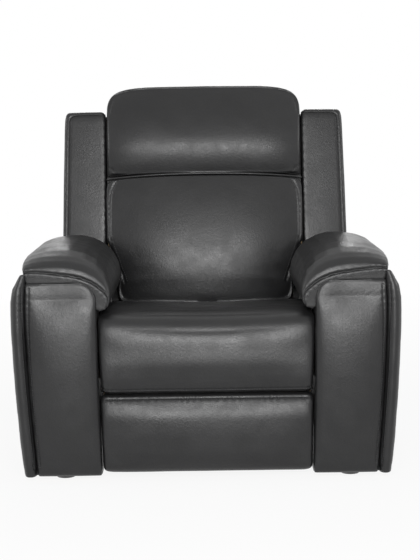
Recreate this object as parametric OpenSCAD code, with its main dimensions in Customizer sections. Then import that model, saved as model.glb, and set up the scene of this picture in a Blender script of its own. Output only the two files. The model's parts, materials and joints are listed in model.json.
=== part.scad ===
// Power cinema recliner seat: wooden arm boxes, a steel footrest and backrest
// mechanism with two drives, and padded leather covers. The front of the seat
// faces -Y and up is +Z. The origin lies on the floor, in the middle of the seat.
// Left is the -X side.

/* [Whole seat] */
// Width over both arms
overall_w = 1040; // [980:10:1140]
// Depth from the footrest face to the rear of the backrest
overall_d = 980; // [960:5:1040]
// Height to the top of the headrest
overall_h = 1070; // [1040:5:1110]
// Height of the feet
foot_h = 22; // [16:1:26]
// Diameter of a foot
foot_d = 60; // [40:2:76]
// Thickness of the upholstered panels
panel_t = 8; // [5:0.5:10]
// Thickness of the frame boards
board_t = 18; // [12:1:22]

/* [Arms] */
// Gap between the arms at the height of the arm top
arm_gap_top = 590; // [580:1:620]
// Gap between the arms at their lower edge
arm_gap_bottom = 568; // [560:1:584]
// Distance of an arm box ahead of the rear of the backrest
arm_rear_in = 228; // [200:2:250]
// Height of the arm box
arm_top_z = 534; // [500:2:550]
// How much narrower each arm stands at its lower edge
arm_flare = 26; // [10:1:44]
// Height at which the arms are widest
belly_z = 455; // [400:5:480]
// Radius of the inner top edge of an arm
arm_edge_r = 44; // [30:1:52]
// Width of the padded roll down the outer front edge
roll_w = 36; // [24:1:46]
// Height of the top of that roll
roll_top_z = 562; // [552:1:576]
// How far the front pads stand out from the arm box
front_pad_t = 18; // [10:1:24]
// Height of the crown of the arm pad
pad_top_z = 626; // [600:2:640]
// How far the arm pad hangs over the inner side of the arm
pad_over = 43; // [30:1:52]
// Gap between the hanging tip of the arm pad and the seat cushion
pad_over_seat = 3; // [1:0.5:30]

/* [Seat] */
// Height of the seat cushion over its front edge
seat_top_z = 447; // [430:1:470]
// Height of the seam between the seat front and the footrest
seat_seam_z = 239; // [236:1:250]
// Rise of the seat cushion toward the arms
seat_dish = 9; // [0:1:22]
// Thickness of the padded front of the seat
apron_t = 40; // [30:1:46]
// Height of the seat frame rails
seat_rail_h = 58; // [40:1:66]
// Wire diameter of the seat and back springs
spring_wire = 4; // [3:0.2:4.6]

/* [Footrest] */
// Thickness of the footrest pad at its crown
rest_pad_t = 62; // [50:1:64]
// Thickness of the footrest board
rest_board_t = 12; // [9:0.5:14]

/* [Footrest linkage] */
// Distance of the drive pivot behind the front face
drive_pivot_in = 216; // [208:1:226]
// Height of the drive pivot
drive_pivot_z = 203.5; // [196:0.5:210]
// Distance of the front pivot ahead of the drive pivot
front_pivot_ahead = 46.5; // [42:0.5:52]
// Height of the front pivot above the drive pivot
front_pivot_up = 36.5; // [30:0.5:40]
// Length of the rear link between its pivots
rear_link_len = 152; // [144:0.5:158]
// Length of the outer link between its end pivots
outer_link_len = 234.5; // [226:0.5:240]
// Distance of the crossing pivot from the rear end of the outer link
cross_pivot_len = 58.5; // [52:0.5:66]
// Length of the front link beyond the crossing pivot
front_link_tail = 45; // [40:0.5:50]
// Distance between the two pivots of a footrest bracket
bracket_len = 47.5; // [42:0.5:54]
// Thickness of a link strip
link_t = 4; // [3:0.1:4.6]
// Width of a link strip
link_w = 20; // [14:0.5:22]
// Gap between neighbouring strips
strip_gap = 1; // [0.6:0.1:1.6]
// Diameter of a link pin
pin_d = 9; // [6:0.5:10]
// Radial clearance of a running pin
pin_clear = 0.05; // [0.03:0.01:0.08]
// Radial clearance of the two open pivots
open_clear = 1.3; // [1:0.1:1.6]

/* [Drives] */
// Distance of each drive from the middle of the seat
drive_x = 70; // [56:1:100]
// Width of the drive rail
rail_w = 36; // [28:1:42]
// Height of the drive rail
rail_h = 24; // [16:1:28]
// Length of the drive rail
rail_len = 290; // [270:1:310]
// Length of the gearbox
gearbox_len = 70; // [56:1:76]
// Diameter of the drive motor
motor_d = 48; // [36:1:54]
// Length of the drive motor
motor_len = 104; // [80:1:120]
// Diameter of the lever rollers
roller_d = 20; // [16:0.5:21]
// Length of the footrest lever between its centres
leg_lever_r = 55; // [50:0.5:56]
// Length of the backrest lever between its centres
back_lever_r = 125; // [118:0.5:128]
// Diameter of the turning tubes
torque_d = 24; // [18:0.5:26]
// Diameter of the fixed cross tubes
cross_d = 25.4; // [19:0.2:30]
// Height of the fixed cross tubes
cross_z = 100; // [90:0.5:101]

/* [Backrest] */
// Distance of the backrest hinge ahead of the rear of the backrest
hinge_rear_in = 275; // [265:1:285]
// Height of the backrest hinge
hinge_z = 285; // [275:1:292]
// Lean of the upright backrest, in degrees
back_lean = 11; // [9:0.5:12]
// Width over the wings
wing_span = 880; // [820:4:940]
// Distance of the wings' tops below the top of the headrest, along the backrest
wing_drop = 100; // [70:2:160]
// Distance of the wing faces ahead of the hinge
wing_face_t = 95; // [70:1:100]
// Width of the headrest cushion
head_w = 600; // [570:2:606]
// Height of the seam under the headrest above the hinge
back_seam_s = 490; // [440:1:540]
// Greatest width of the lower back cushion
lumbar_w = 606; // [596:1:630]
// Width of the lower back cushion between the arm pads
lumbar_low_w = 510; // [480:2:530]
// Distance of the lower back cushion's crown ahead of the hinge
lumbar_face_t = 186; // [160:1:190]
// Distance of the headrest's crown ahead of the hinge
head_face_t = 168; // [140:1:178]
// Distance of the rear cover's top below the top of the headrest, along the backrest
rear_drop = 40; // [34:1:64]

/* [Hand control] */
// Height of the control in the outer side of the arm
control_z = 400; // [360:2:430]
// Distance of the control behind the arm's front edge
control_in = 230; // [120:5:300]
// Length of the control bezel
bezel_l = 92; // [84:1:120]
// Height of the control bezel
bezel_h = 56; // [48:1:70]
// Length of a rocker
rocker_l = 30; // [22:0.5:34]
// Height of a rocker
rocker_h = 36; // [26:0.5:38]

/* [Hidden] */
$fn = 48;

leather = [0.20, 0.20, 0.21];
leather_side = [0.17, 0.17, 0.18];
timber = [0.78, 0.63, 0.44];
steel = [0.32, 0.33, 0.35];
zinc = [0.66, 0.67, 0.69];
black = [0.09, 0.09, 0.10];

// Clearances and small values that several pieces share
seat_gap = 0.3;       // between a padded piece and what carries it
cut_over = 2;         // overrun of a cut
side_gap = 2.5;       // between the seat cushion or footrest and an arm
swing_gap = 6;        // between the backrest and the arms
half_w = overall_w / 2;
front_y = -overall_d / 2;
hinge_y = overall_d / 2 - hinge_rear_in;
body_z = foot_h;
arm_setback = 2;      // the arm fronts lie this far behind the footrest's crown
arm_y0 = front_y + arm_setback + front_pad_t;
arm_y1 = overall_d / 2 - arm_rear_in;
edge_z = arm_top_z - arm_edge_r;
wing_gap = 20;        // clearance of the wings over the arms as the backrest turns
top_s = (overall_h - hinge_z) / cos(back_lean);
wing_top_s = top_s - wing_drop;
rear_top_s = top_s - rear_drop;
wing_low_s = norm([arm_y1 - hinge_y, arm_top_z - hinge_z]) + wing_gap;

function lerp(a, b, w) = a + (b - a) * w;
function clamp(v, low, high) = max(low, min(high, v));
function unit(v) = v / norm(v);
function ease(w) = let (c = clamp(w, 0, 1)) c * c * (3 - 2 * c);
function flip(list) = [for (i = [len(list) - 1:-1:0]) list[i]];
function arc(c, r, a0, a1, n) =
    [for (i = [0:n]) let (a = lerp(a0, a1, i / n)) c + r * [cos(a), sin(a)]];

// A polygon with every corner rounded off
function rounded(pts, r, n = 4) = [
    for (i = [0:len(pts) - 1])
        let (
            p = pts[i],
            a = pts[(i + len(pts) - 1) % len(pts)] - p,
            b = pts[(i + 1) % len(pts)] - p,
            d = min(r, norm(a) / 2.1, norm(b) / 2.1),
            s = p + unit(a) * d,
            e = p + unit(b) * d
        )
        for (j = [0:n]) let (w = j / n) (1 - w) * (1 - w) * s + 2 * w * (1 - w) * p + w * w * e
];
function oblong(u, v) = [[-u, -v] / 2, [u, -v] / 2, [u, v] / 2, [-u, v] / 2];

// Half the gap between the arms, and the outer face of an arm, at height z
function inner_x(z) =
    lerp(arm_gap_bottom, arm_gap_top, (z - body_z) / (arm_top_z - body_z)) / 2;
flare_power = 1.5;
shoulder_power = 2.6;
shoulder_w = 45;      // how far the arm's shoulder curves in at its top
function outer_x(z) = z < belly_z
    ? half_w - arm_flare * pow((belly_z - z) / (belly_z - body_z), flare_power)
    : half_w - shoulder_w * (1 - pow(1 - pow(min(1, (z - belly_z) / (roll_top_z - belly_z)),
        shoulder_power), 1 / shoulder_power));
roll_tuck = 7;        // how far the roll's inner seam turns in at its top
function roll_x(z) = z < belly_z
    ? outer_x(z) - roll_w
    : half_w - roll_w - roll_tuck * pow((z - belly_z) / (roll_top_z - belly_z), 2);

// The outer face of an arm as straight steps that all its pieces share
skin_steps = 20;
skin_top_z = roll_top_z - roll_tuck;
skin_table = [for (i = [0:skin_steps]) let (z = lerp(body_z, skin_top_z, i / skin_steps))
    [z, outer_x(z)]];
function skin_x(z) = lookup(z, skin_table);

// The cross-section of an arm, set in from its skin by d and lifted off its base by low
function arm_section(d, low = 0) = concat(
    [[inner_x(body_z + low) + d, body_z + low]],
    arc([inner_x(edge_z) + arm_edge_r, edge_z], arm_edge_r - d, 180, 90, 6),
    flip([for (i = [0:12]) let (z = lerp(body_z + low, arm_top_z - d, i / 12))
        [skin_x(z) - d, z]])
);

module along_y(y0, y1) {
    translate([0, y1, 0]) rotate([90, 0, 0]) linear_extrude(y1 - y0) children();
}
module along_x(x0, x1) {
    translate([x0, 0, 0]) rotate([90, 0, 90]) linear_extrude(x1 - x0) children();
}
module rod_x(x0, x1, d, at) {
    translate([x0, at[0], at[1]]) rotate([0, 90, 0]) cylinder(d = d, h = x1 - x0);
}
module block(low, high) {
    translate(low) cube(high - low);
}
module on_side(s) {
    if (s < 0) mirror([1, 0, 0]) children();
    else children();
}
module leaning() {
    translate([0, hinge_y, hinge_z]) rotate([-back_lean, 0, 0]) children();
}

// A closed skin over rings of points, with a point at each end
function skin_faces(n, m) = concat(
    [for (i = [0:n - 2], j = [0:m - 1]) [i * m + j, (i + 1) * m + j, i * m + (j + 1) % m]],
    [for (i = [0:n - 2], j = [0:m - 1])
        [i * m + (j + 1) % m, (i + 1) * m + j, (i + 1) * m + (j + 1) % m]],
    [for (j = [0:m - 1]) [n * m, j, (j + 1) % m]],
    [for (j = [0:m - 1]) [n * m + 1, (n - 1) * m + (j + 1) % m, (n - 1) * m + j]]
);
module skin(rings, tip0, tip1) {
    n = len(rings);
    m = len(rings[0]);
    pts = concat([for (r = rings, p = r) p], [tip0, tip1]);
    faces = skin_faces(n, m);
    sizes = [for (f = faces) cross(pts[f[0]], pts[f[1]]) * pts[f[2]]];
    ones = [for (f = faces) 1];
    polyhedron(pts, sizes * ones < 0 ? faces : [for (f = faces) flip(f)]);
}
function middle(list) = [for (i = [0:len(list[0]) - 1]) let (c = [for (p = list) p[i]])
    (max(c) + min(c)) / 2];

// A pillow: copies of an outline shrunk toward its centre, each at its own depth.
// A level is [share of the outline, depth]; the inner copies turn to ellipses.
function pillow_ring(outline, centre, half, k, depth, soft) = [
    for (p = outline)
        let (
            d = p - centre,
            a = atan2(d[1] / half[1], d[0] / half[0]),
            q = [half[0] * cos(a), half[1] * sin(a)],
            w = (1 - min(1, k)) * soft,
            r = centre + k * ((1 - w) * d + w * q)
        )
        [r[0], depth, r[1]]
];
module pillow(outline, centre, levels, soft = 1) {
    half = [max([for (p = outline) abs(p[0] - centre[0])]),
        max([for (p = outline) abs(p[1] - centre[1])])];
    rings = [for (l = levels) pillow_ring(outline, centre, half, l[0], l[1], soft)];
    last = levels[len(levels) - 1];
    skin(rings, [centre[0], levels[0][1], centre[1]], [centre[0], last[1], centre[1]]);
}

// An outline with soft corners, from u -half_u to half_u and v0 to v1
outline_points = 36;
function soft_outline(half_u, v0, v1, power) = [
    for (i = [0:outline_points - 1])
        let (a = 360 * i / outline_points, c = cos(a), s = sin(a))
        [half_u * sign(c) * pow(abs(c), 2 / power),
         (v0 + v1) / 2 + (v1 - v0) / 2 * sign(s) * pow(abs(s), 2 / power)]
];

// A round wire along a flat path of [u, v] points, given as rings in the XY plane
wire_sides = 6;
function wire_rings(path, r) = [
    for (i = [0:len(path) - 1])
        let (
            t = unit(path[min(i + 1, len(path) - 1)] - path[max(i - 1, 0)]),
            side = [-t[1], t[0]]
        )
        [for (j = [0:wire_sides - 1]) let (a = 360 * j / wire_sides)
            [path[i][0] + r * cos(a) * side[0], path[i][1] + r * cos(a) * side[1], r * sin(a)]]
];
spring_pitch = 52;    // length of one wave of a sinuous spring
spring_amp = 22;      // half the width of a sinuous spring
wave_bulge_share = 0.06;
wave_points = 6;
function spring_path(length) = let (waves = round(length / spring_pitch)) [
    for (i = [0:waves * wave_points])
        let (a = 360 * i / wave_points, loop = wave_bulge_share * length / waves)
        [length * i / (waves * wave_points) + loop * sin(2 * a), spring_amp * sin(a)]
];
module sinuous(length) {
    path = spring_path(length);
    rings = wire_rings(path, spring_wire / 2);
    skin(rings, [path[0][0], path[0][1], 0],
        [path[len(path) - 1][0], path[len(path) - 1][1], 0]);
}

// Feet
foot_in = 70;         // distance of the front feet behind the arm box's front edge
foot_out = 34;        // distance of the rear feet from the arm box's rear edge
foot_x = (inner_x(body_z) + outer_x(body_z)) / 2;
foot_flare_share = 0.8;
foot_rim = 5;
module feet() {
    color(black)
        for (x = [-foot_x, foot_x], y = [arm_y0 + foot_in, arm_y1 - foot_out])
            translate([x, y, 0]) rotate_extrude()
                polygon([[0, 0], [foot_d / 2 * foot_flare_share, 0], [foot_d / 2, foot_rim],
                    [foot_d / 2, foot_h - foot_rim], [foot_d / 2 * foot_flare_share, foot_h],
                    [0, foot_h]]);
}

// The side plates stand just inside the arms and the strips lie inboard of them
plate_x1 = inner_x(body_z) - strip_gap;
plate_x0 = plate_x1 - link_t;
function layer_x(n) = plate_x0 - n * (link_t + strip_gap);
mount_drop = 6;       // from the seat seam down to the top of the mounting block
mount_in = 90;        // from the arm box's front edge to the mounting block
mount_z0 = body_z + board_t + link_t;
mount_z1 = seat_seam_z - mount_drop;
mount_y0 = arm_y0 + mount_in;
window_r = 20;
window_edge = 48;     // board left below an outer window
window_post = 87;     // board left between two windows
window_clear = 42;    // from the control's bezel to the rear edge of its window
window_share = [0.12, 0.88];

// Pivots of the footrest linkage at rest, as [y, z]
rear_link_a = -67.1;
outer_link_a = 142.9;
bracket_a = -69.3;
function polar(r, a) = r * [cos(a), sin(a)];
drive_pivot = [front_y + drive_pivot_in, drive_pivot_z];
front_pivot = drive_pivot + [-front_pivot_ahead, front_pivot_up];
rear_joint = drive_pivot + polar(rear_link_len, rear_link_a);
bracket_joint = rear_joint + polar(outer_link_len, outer_link_a);
cross_joint = rear_joint + polar(cross_pivot_len, outer_link_a);
inner_joint = cross_joint + front_link_tail * unit(cross_joint - front_pivot);
low_joint = bracket_joint + polar(bracket_len, bracket_a);
hinge_at = [hinge_y, hinge_z];

// Levers and what pushes them
leg_lever_a = -40.5;
leg_roller_at = drive_pivot + polar(leg_lever_r, leg_lever_a);
back_lever_a = -70;
back_roller_at = hinge_at + polar(back_lever_r, back_lever_a);
rail_z1 = cross_z + cross_d / 2 + rail_h;
leg_play = 2.9;       // rest gap between the footrest drive's nose and its roller
back_play = 0.8;      // rest gap between the backrest drive's nose and its roller
leg_nose_y = leg_roller_at[0] + roller_d / 2 + leg_play;
back_nose_y = back_roller_at[0] - roller_d / 2 - back_play;
nose_w = 14;
nose_len = 46;
block_len = 44;
fork_side = 2;        // room on each side of a roller
fork_gap = nose_w + 2 * fork_side;
rail_nose = 80;       // the footrest rail reaches this far ahead of the nose at rest
leg_rail_y0 = leg_nose_y - rail_nose;
back_rail_y1 = back_nose_y - strip_gap;
saddle_in = 120;      // from the end of a rail under its nose to the cross tube
cross_y = [leg_rail_y0 + saddle_in, back_rail_y1 - saddle_in];

// Arm box of boards, with windows in both long sides
module arm_frame(s) {
    y0 = arm_y0;
    y1 = arm_y1 - panel_t;
    post_y = control_at[0] + bezel_l / 2 + window_clear;
    windows = [[lerp(y0, y1, window_share[0]), post_y],
        [post_y + window_post, lerp(y0, y1, window_share[1])]];
    color(timber) on_side(s) difference() {
        union() {
            along_y(y0, y1) polygon(arm_section(panel_t));
            block([plate_x1, mount_y0, mount_z0],
                [inner_x(mount_z1) + panel_t + cut_over, hinge_y, mount_z1]);
        }
        along_y(y0 + board_t, y1 - board_t) polygon(arm_section(panel_t + board_t, board_t));
        for (w = windows) {
            along_x(inner_x(mount_z1) + board_t + panel_t + cut_over, half_w)
                polygon(rounded([[w[0], body_z + board_t + window_edge],
                    [w[1], body_z + board_t + window_edge], [w[1], belly_z], [w[0], belly_z]],
                    window_r));
            along_x(0, half_w - arm_flare - board_t - panel_t)
                polygon(rounded([[w[0], seat_seam_z + 2 * board_t],
                    [w[1], seat_seam_z + 2 * board_t], [w[1], belly_z], [w[0], belly_z]],
                    window_r));
        }
        for (p = bolt_at)
            rod_x(plate_x1 - cut_over, plate_x1 + bolt_len, bolt_d, p);
    }
}

// Padded front face of an arm, inside its roll
function front_outline() = concat(
    [for (i = [0:5]) let (z = lerp(body_z, edge_z, i / 6)) [inner_x(z), z]],
    arc([inner_x(edge_z) + arm_edge_r, edge_z], arm_edge_r, 180, 90, 5),
    [for (i = [1:3]) [lerp(inner_x(edge_z) + arm_edge_r, roll_x(arm_top_z), i / 4), arm_top_z]],
    [for (i = [0:9]) let (z = lerp(arm_top_z, body_z, i / 10)) [roll_x(z), z]],
    [for (i = [0:3]) [lerp(roll_x(body_z), inner_x(body_z), i / 4), body_z]]
);
front_soft_share = 0.25;
front_levels_share = [[1, 0], [1, 0.32], [0.975, 0.62], [0.91, 0.82], [0.78, 0.94], [0.5, 1]];
module arm_front_panel(s) {
    outline = front_outline();
    color(leather) on_side(s)
        pillow(outline, middle(outline),
            [for (l = front_levels_share) [l[0], arm_y0 - l[1] * front_pad_t]], front_soft_share);
}

// Outer and rear cover of an arm
module arm_outer_panel(s) {
    skin_pts = [for (r = skin_table) [r[1], r[0]]];
    color(leather_side) on_side(s) difference() {
        union() {
            along_y(arm_y0, arm_y1)
                polygon(concat(skin_pts, flip([for (p = skin_pts) p - [panel_t, 0]])));
            along_y(arm_y1 - panel_t, arm_y1) polygon(arm_section(0));
        }
        if (s < 0) bezel_pocket(seat_gap);
    }
}

// Padded roll down the outer front edge
roll_section_share = [[0, 0], [0, 0.55], [0.12, 0.86], [0.35, 1], [0.65, 1], [0.88, 0.82],
    [1, 0.45], [1, 0]];
roll_end_share = [0.82, 0.96, 1];
roll_steps = 16;
module arm_front_roll(s) {
    z1 = roll_top_z - roll_tuck / 2;
    rings = [for (i = [0:roll_steps])
        let (
            z = lerp(body_z, z1, i / roll_steps),
            k = roll_end_share[min(2, i, roll_steps - i)],
            x0 = roll_x(z) + strip_gap / 2,
            x1 = outer_x(z)
        )
        [for (p = roll_section_share)
            [lerp(x0, x1, lerp(0.5, p[0], k)), arm_y0 - p[1] * k * front_pad_t, z]]];
    color(leather) on_side(s) skin(rings, middle(rings[0]), middle(rings[roll_steps]));
}

// Inner and top cover of an arm, down to the seat rail
module arm_inner_panel(s) {
    color(leather_side) on_side(s) along_y(arm_y0, arm_y1 - panel_t) difference() {
        polygon([for (p = arm_section(0)) [min(p[0], skin_x(p[1]) - panel_t), p[1]]]);
        polygon(arm_section(panel_t));
        translate([0, -cut_over]) square([half_w, mount_z1 + strip_gap + cut_over]);
        translate([(inner_x(edge_z) + half_w) / 2, 0]) square([half_w, arm_top_z - panel_t]);
    }
}

// Arm pad: a pillow that rests on the arm and hangs over its inner edge.
// Sections run from the outer seam over the crown to the hanging tip, as
// [share of the width, share of the height].
pad_front_share = [[1, 0.64], [0.99, 0.665], [0.95, 0.67], [0.86, 0.66], [0.74, 0.645],
    [0.58, 0.62], [0.42, 0.585], [0.28, 0.52], [0.16, 0.42], [0.07, 0.31], [0.03, 0.23],
    [0.02, 0.16], [0.03, 0.1], [0.07, 0.04], [0.13, 0]];
pad_full_share = [[1, 0.64], [1.04, 0.73], [1.03, 0.82], [0.95, 0.905], [0.82, 0.965],
    [0.66, 0.995], [0.5, 1], [0.33, 0.955], [0.19, 0.86], [0.08, 0.71], [0.02, 0.53],
    [0, 0.36], [0.015, 0.19], [0.06, 0.06], [0.13, 0]];
// Along the pad: [share of the length, share of the crown, share of the rear taper]
pad_along_share = [[0, 0, 0], [0.008, 0.3, 0], [0.03, 0.52, 0], [0.07, 0.72, 0],
    [0.14, 0.88, 0], [0.26, 0.98, 0], [0.42, 1, 0], [0.6, 1, 0], [0.76, 0.99, 0],
    [0.86, 0.97, 0.2], [0.94, 0.93, 0.62], [0.985, 0.86, 0.92], [1, 0.74, 1]];
pad_front_in = 15;    // distance of the pad's front behind the arm box's front edge
pad_taper = 36;       // how far the hanging side draws in at the rear
pad_x1 = skin_x(skin_top_z) - panel_t - strip_gap;
pad_x0 = arm_gap_top / 2 - pad_over;
pad_w = pad_x1 - pad_x0;
pad_tip_z = seat_top_z + seat_dish + pad_over_seat;
pad_inner_share = [0.12, 0.55, 1];
pad_wrap_a = 165;     // where the pad's underside meets the arm's rounded edge
pad_seat_share = [0.4, 0.97];
function wing_face_y(s) = hinge_y - wing_face_t * cos(back_lean) + s * sin(back_lean);
pad_rear_gap = 5;
pad_y0 = arm_y0 + pad_front_in;
pad_y1 = wing_face_y(wing_low_s) - pad_rear_gap;
function pad_point(share, taper) =
    let (
        z = lerp(pad_tip_z, pad_top_z, share[1]),
        x = pad_x0 + pad_w * share[0] + taper * pow(1 - share[0], 2) * pad_taper
    )
    [z < arm_top_z ? min(x, arm_skin_x(z) - strip_gap) : x, z];
// The arm's skin on its inner side, over the rounded edge
function arm_skin_x(z) = z < edge_z ? inner_x(z) : let (d = min(arm_edge_r, z - edge_z))
    inner_x(edge_z) + arm_edge_r - sqrt(arm_edge_r * arm_edge_r - d * d);
function pad_under() = concat(
    [for (k = pad_inner_share) let (z = lerp(pad_tip_z, edge_z, k)) [inner_x(z) - seat_gap, z]],
    arc([inner_x(edge_z) + arm_edge_r, edge_z], arm_edge_r + seat_gap, pad_wrap_a, 90, 5),
    [for (k = pad_seat_share) [lerp(pad_x0 + pad_w / 3, pad_x1, k), arm_top_z + seat_gap]]
);
module arm_pad(s) {
    rings = [for (r = pad_along_share)
        let (y = lerp(pad_y0, pad_y1, r[0]))
        [for (p = concat(
            [for (i = [0:len(pad_full_share) - 1])
                pad_point(lerp(pad_front_share[i], pad_full_share[i], r[1]), r[2])],
            pad_under())) [p[0], y, p[1]]]];
    tip = [pad_x0 + pad_w / 2, 0, arm_top_z + seat_gap + panel_t];
    color(leather) on_side(s) skin(rings, tip + [0, pad_y0, 0], tip + [0, pad_y1, 0]);
}

// Low cover across the rear of the base
rear_panel_z1 = 130;
module base_rear_panel() {
    color(leather_side) along_y(arm_y1 - panel_t, arm_y1)
        polygon([[-inner_x(body_z), body_z], [inner_x(body_z), body_z],
            [inner_x(rear_panel_z1), rear_panel_z1], [-inner_x(rear_panel_z1), rear_panel_z1]]);
}

// Fixed steel structure
flange_w = 47;        // width of the shelf that carries the seat frame
shelf_z1 = front_pivot[1] + link_w;
plate_r = 12;
bolt_d = 8;
bolt_len = 30;
bolt_head = 13;
bolt_head_t = 5.3;
bolt_in = [122, 120]; // behind the drive pivot and ahead of the hinge
bolt_up = [40, 16];   // above the cross tubes and above the drive pivot
bolt_at = [for (y = [drive_pivot[0] + bolt_in[0], hinge_y - bolt_in[1]],
    z = [cross_z + bolt_up[0], drive_pivot_z + bolt_up[1]]) [y, z]];
module cross_tubes() {
    color(steel) for (y = cross_y) difference() {
        rod_x(-plate_x0, plate_x0, cross_d, [y, cross_z]);
        rod_x(-plate_x0 - cut_over, plate_x0 + cut_over, cross_d - link_t, [y, cross_z]);
    }
}
plate_edge = 24;      // steel left around the pivots of a side plate
plate_hole_share = [0.3, 0.7];
plate_hole_up_share = 0.55;
module side_plate(s) {
    ear = plate_edge;
    shelf_z0 = shelf_z1 - link_t;
    outline = rounded([
        [front_pivot[0] - ear, shelf_z1], [front_pivot[0] - ear, front_pivot[1] - ear],
        [drive_pivot[0] - ear, drive_pivot[1] - 1.5 * ear], [cross_y[0] - 2 * ear, cross_z - ear],
        [cross_y[1] + 2 * ear, cross_z - ear], [hinge_y, hinge_z - 5 * ear],
        [hinge_y + ear, hinge_z + ear], [hinge_y - ear, hinge_z + ear],
        [seat_rear_y, shelf_z1]], plate_r);
    color(steel) on_side(s) difference() {
        union() {
            along_x(plate_x0, plate_x1) polygon(outline);
            block([plate_x1 - flange_w, front_pivot[0] - ear + plate_r, shelf_z0],
                [plate_x0, seat_rear_y - plate_r, shelf_z1]);
        }
        rod_x(plate_x0 - cut_over, plate_x1 + cut_over, pin_d + 2 * pin_clear, front_pivot);
        rod_x(plate_x0 - cut_over, plate_x1 + cut_over, hub_pin_d + 2 * pin_clear, drive_pivot);
        rod_x(plate_x0 - cut_over, plate_x1 + cut_over, hub_pin_d + 2 * pin_clear, hinge_at);
        for (p = bolt_at) rod_x(plate_x0 - cut_over, plate_x1 + cut_over, bolt_d, p);
        for (k = plate_hole_share)
            rod_x(plate_x0 - cut_over, plate_x1 + cut_over, 2 * ear,
                [lerp(cross_y[0], cross_y[1], k), lerp(cross_z, shelf_z1, plate_hole_up_share)]);
    }
}
hub_pin_d = 16;
module plate_bolts() {
    color(zinc) for (s = [-1, 1]) on_side(s) for (p = bolt_at) {
        rod_x(plate_x0, plate_x1 + bolt_len, bolt_d, p);
        translate([plate_x0 - bolt_head_t, p[0], p[1]]) rotate([0, 90, 0])
            cylinder(d = bolt_head, h = bolt_head_t, $fn = 6);
    }
}

// Seat
apron_y = front_y + apron_t;
seat_rear_in = 87;    // from the backrest hinge forward to the rear of the seat
seat_rear_y = hinge_y - seat_rear_in;
seat_rail_z0 = shelf_z1;
seat_rail_z1 = seat_rail_z0 + seat_rail_h;
seat_base_z = seat_rail_z1 + spring_wire + seat_gap;
rail_out_x = plate_x0 - 3 * (link_t + strip_gap) - 2 * strip_gap;
rail_in_x = rail_out_x - board_t - panel_t / 2;
seat_rail_y0 = apron_y + panel_t + seat_gap;
module seat_frame() {
    color(timber) difference() {
        block([-rail_out_x, seat_rail_y0, seat_rail_z0],
            [rail_out_x, seat_rear_y, seat_rail_z1]);
        block([-rail_in_x, seat_rail_y0 + board_t, seat_rail_z0 - cut_over],
            [rail_in_x, seat_rear_y - board_t, seat_rail_z1 + cut_over]);
        for (s = [-1, 1], y = [seat_rail_y0 + 3 * board_t, seat_rear_y - 3 * board_t])
            translate([s * (rail_in_x + rail_out_x) / 2, y, seat_rail_z0 - cut_over])
                cylinder(d = bolt_d, h = seat_rail_h + 2 * cut_over);
    }
}
seat_springs_n = 4;
module seat_springs() {
    length = seat_rear_y - seat_rail_y0 - board_t;
    color(zinc) for (i = [0:seat_springs_n - 1])
        translate([lerp(-rail_in_x, rail_in_x, (i + 0.5) / seat_springs_n),
            seat_rail_y0 + board_t / 2, seat_rail_z1 + spring_wire / 2])
            rotate([0, 0, 90]) sinuous(length);
}

// Seat cushion: a side profile of [y, z] swept across the seat. Its front is given as
// [share of the apron's thickness, share of the height from the seam], its top as
// [share of the depth, share of the thickness that it has fallen].
seat_front_share = [[1, 0.012], [0.55, 0], [0.2, 0.05], [0.04, 0.2], [0, 0.36], [0.05, 0.56],
    [0.17, 0.73], [0.42, 0.88], [0.9, 0.975]];
seat_top_share = [[0.13, 0], [0.26, 0], [0.46, 0.04], [0.66, 0.1], [0.82, 0.17], [0.94, 0.25],
    [0.985, 0.36], [1, 0.6]];
seat_under_share = [0.99, 0.5];
function seat_profile() = let (t = seat_top_z - seat_base_z) concat(
    [for (p = seat_front_share)
        [lerp(front_y, apron_y, p[0]), lerp(seat_seam_z, seat_top_z, p[1])]],
    [for (p = seat_top_share) [lerp(front_y, seat_rear_y, p[0]), seat_top_z - t * p[1]]],
    [for (k = seat_under_share) [lerp(front_y, seat_rear_y, k), seat_base_z]],
    [[apron_y + panel_t, seat_base_z], [apron_y, seat_base_z - panel_t],
        [apron_y, (seat_seam_z + seat_base_z) / 2]]
);
// Profile drawn in along its own normals
function drawn_in(ring, d) = [
    for (i = [0:len(ring) - 1])
        let (
            t = unit(ring[(i + 1) % len(ring)] - ring[(i + len(ring) - 1) % len(ring)])
        )
        ring[i] + d * [t[1], -t[0]]
];
seat_side_r = 16;     // rounding of the cushion's long sides
// Across the cushion: [share of the half width, share of the side rounding]
across_share = [[1, 1], [0.994, 0.55], [0.975, 0.2], [0.93, 0.03], [0.8, 0], [0.55, 0],
    [0.25, 0]];
stations = concat([for (a = across_share) [-a[0], a[1]]], [[0, 0]], flip(across_share));
module seat_cushion() {
    base = seat_profile();
    tall = seat_top_z - seat_base_z;
    rings = [for (a = stations)
        [for (p = drawn_in(base, a[1] * seat_side_r))
            [a[0] * (inner_x(p[1]) - side_gap), p[0],
             p[1] + seat_dish * a[0] * a[0] * clamp((p[1] - seat_base_z) / tall, 0, 1)]]];
    color(leather) skin(rings, middle(rings[0]) + [0, 0, seat_side_r],
        middle(rings[len(rings) - 1]) + [0, 0, seat_side_r]);
}

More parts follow.
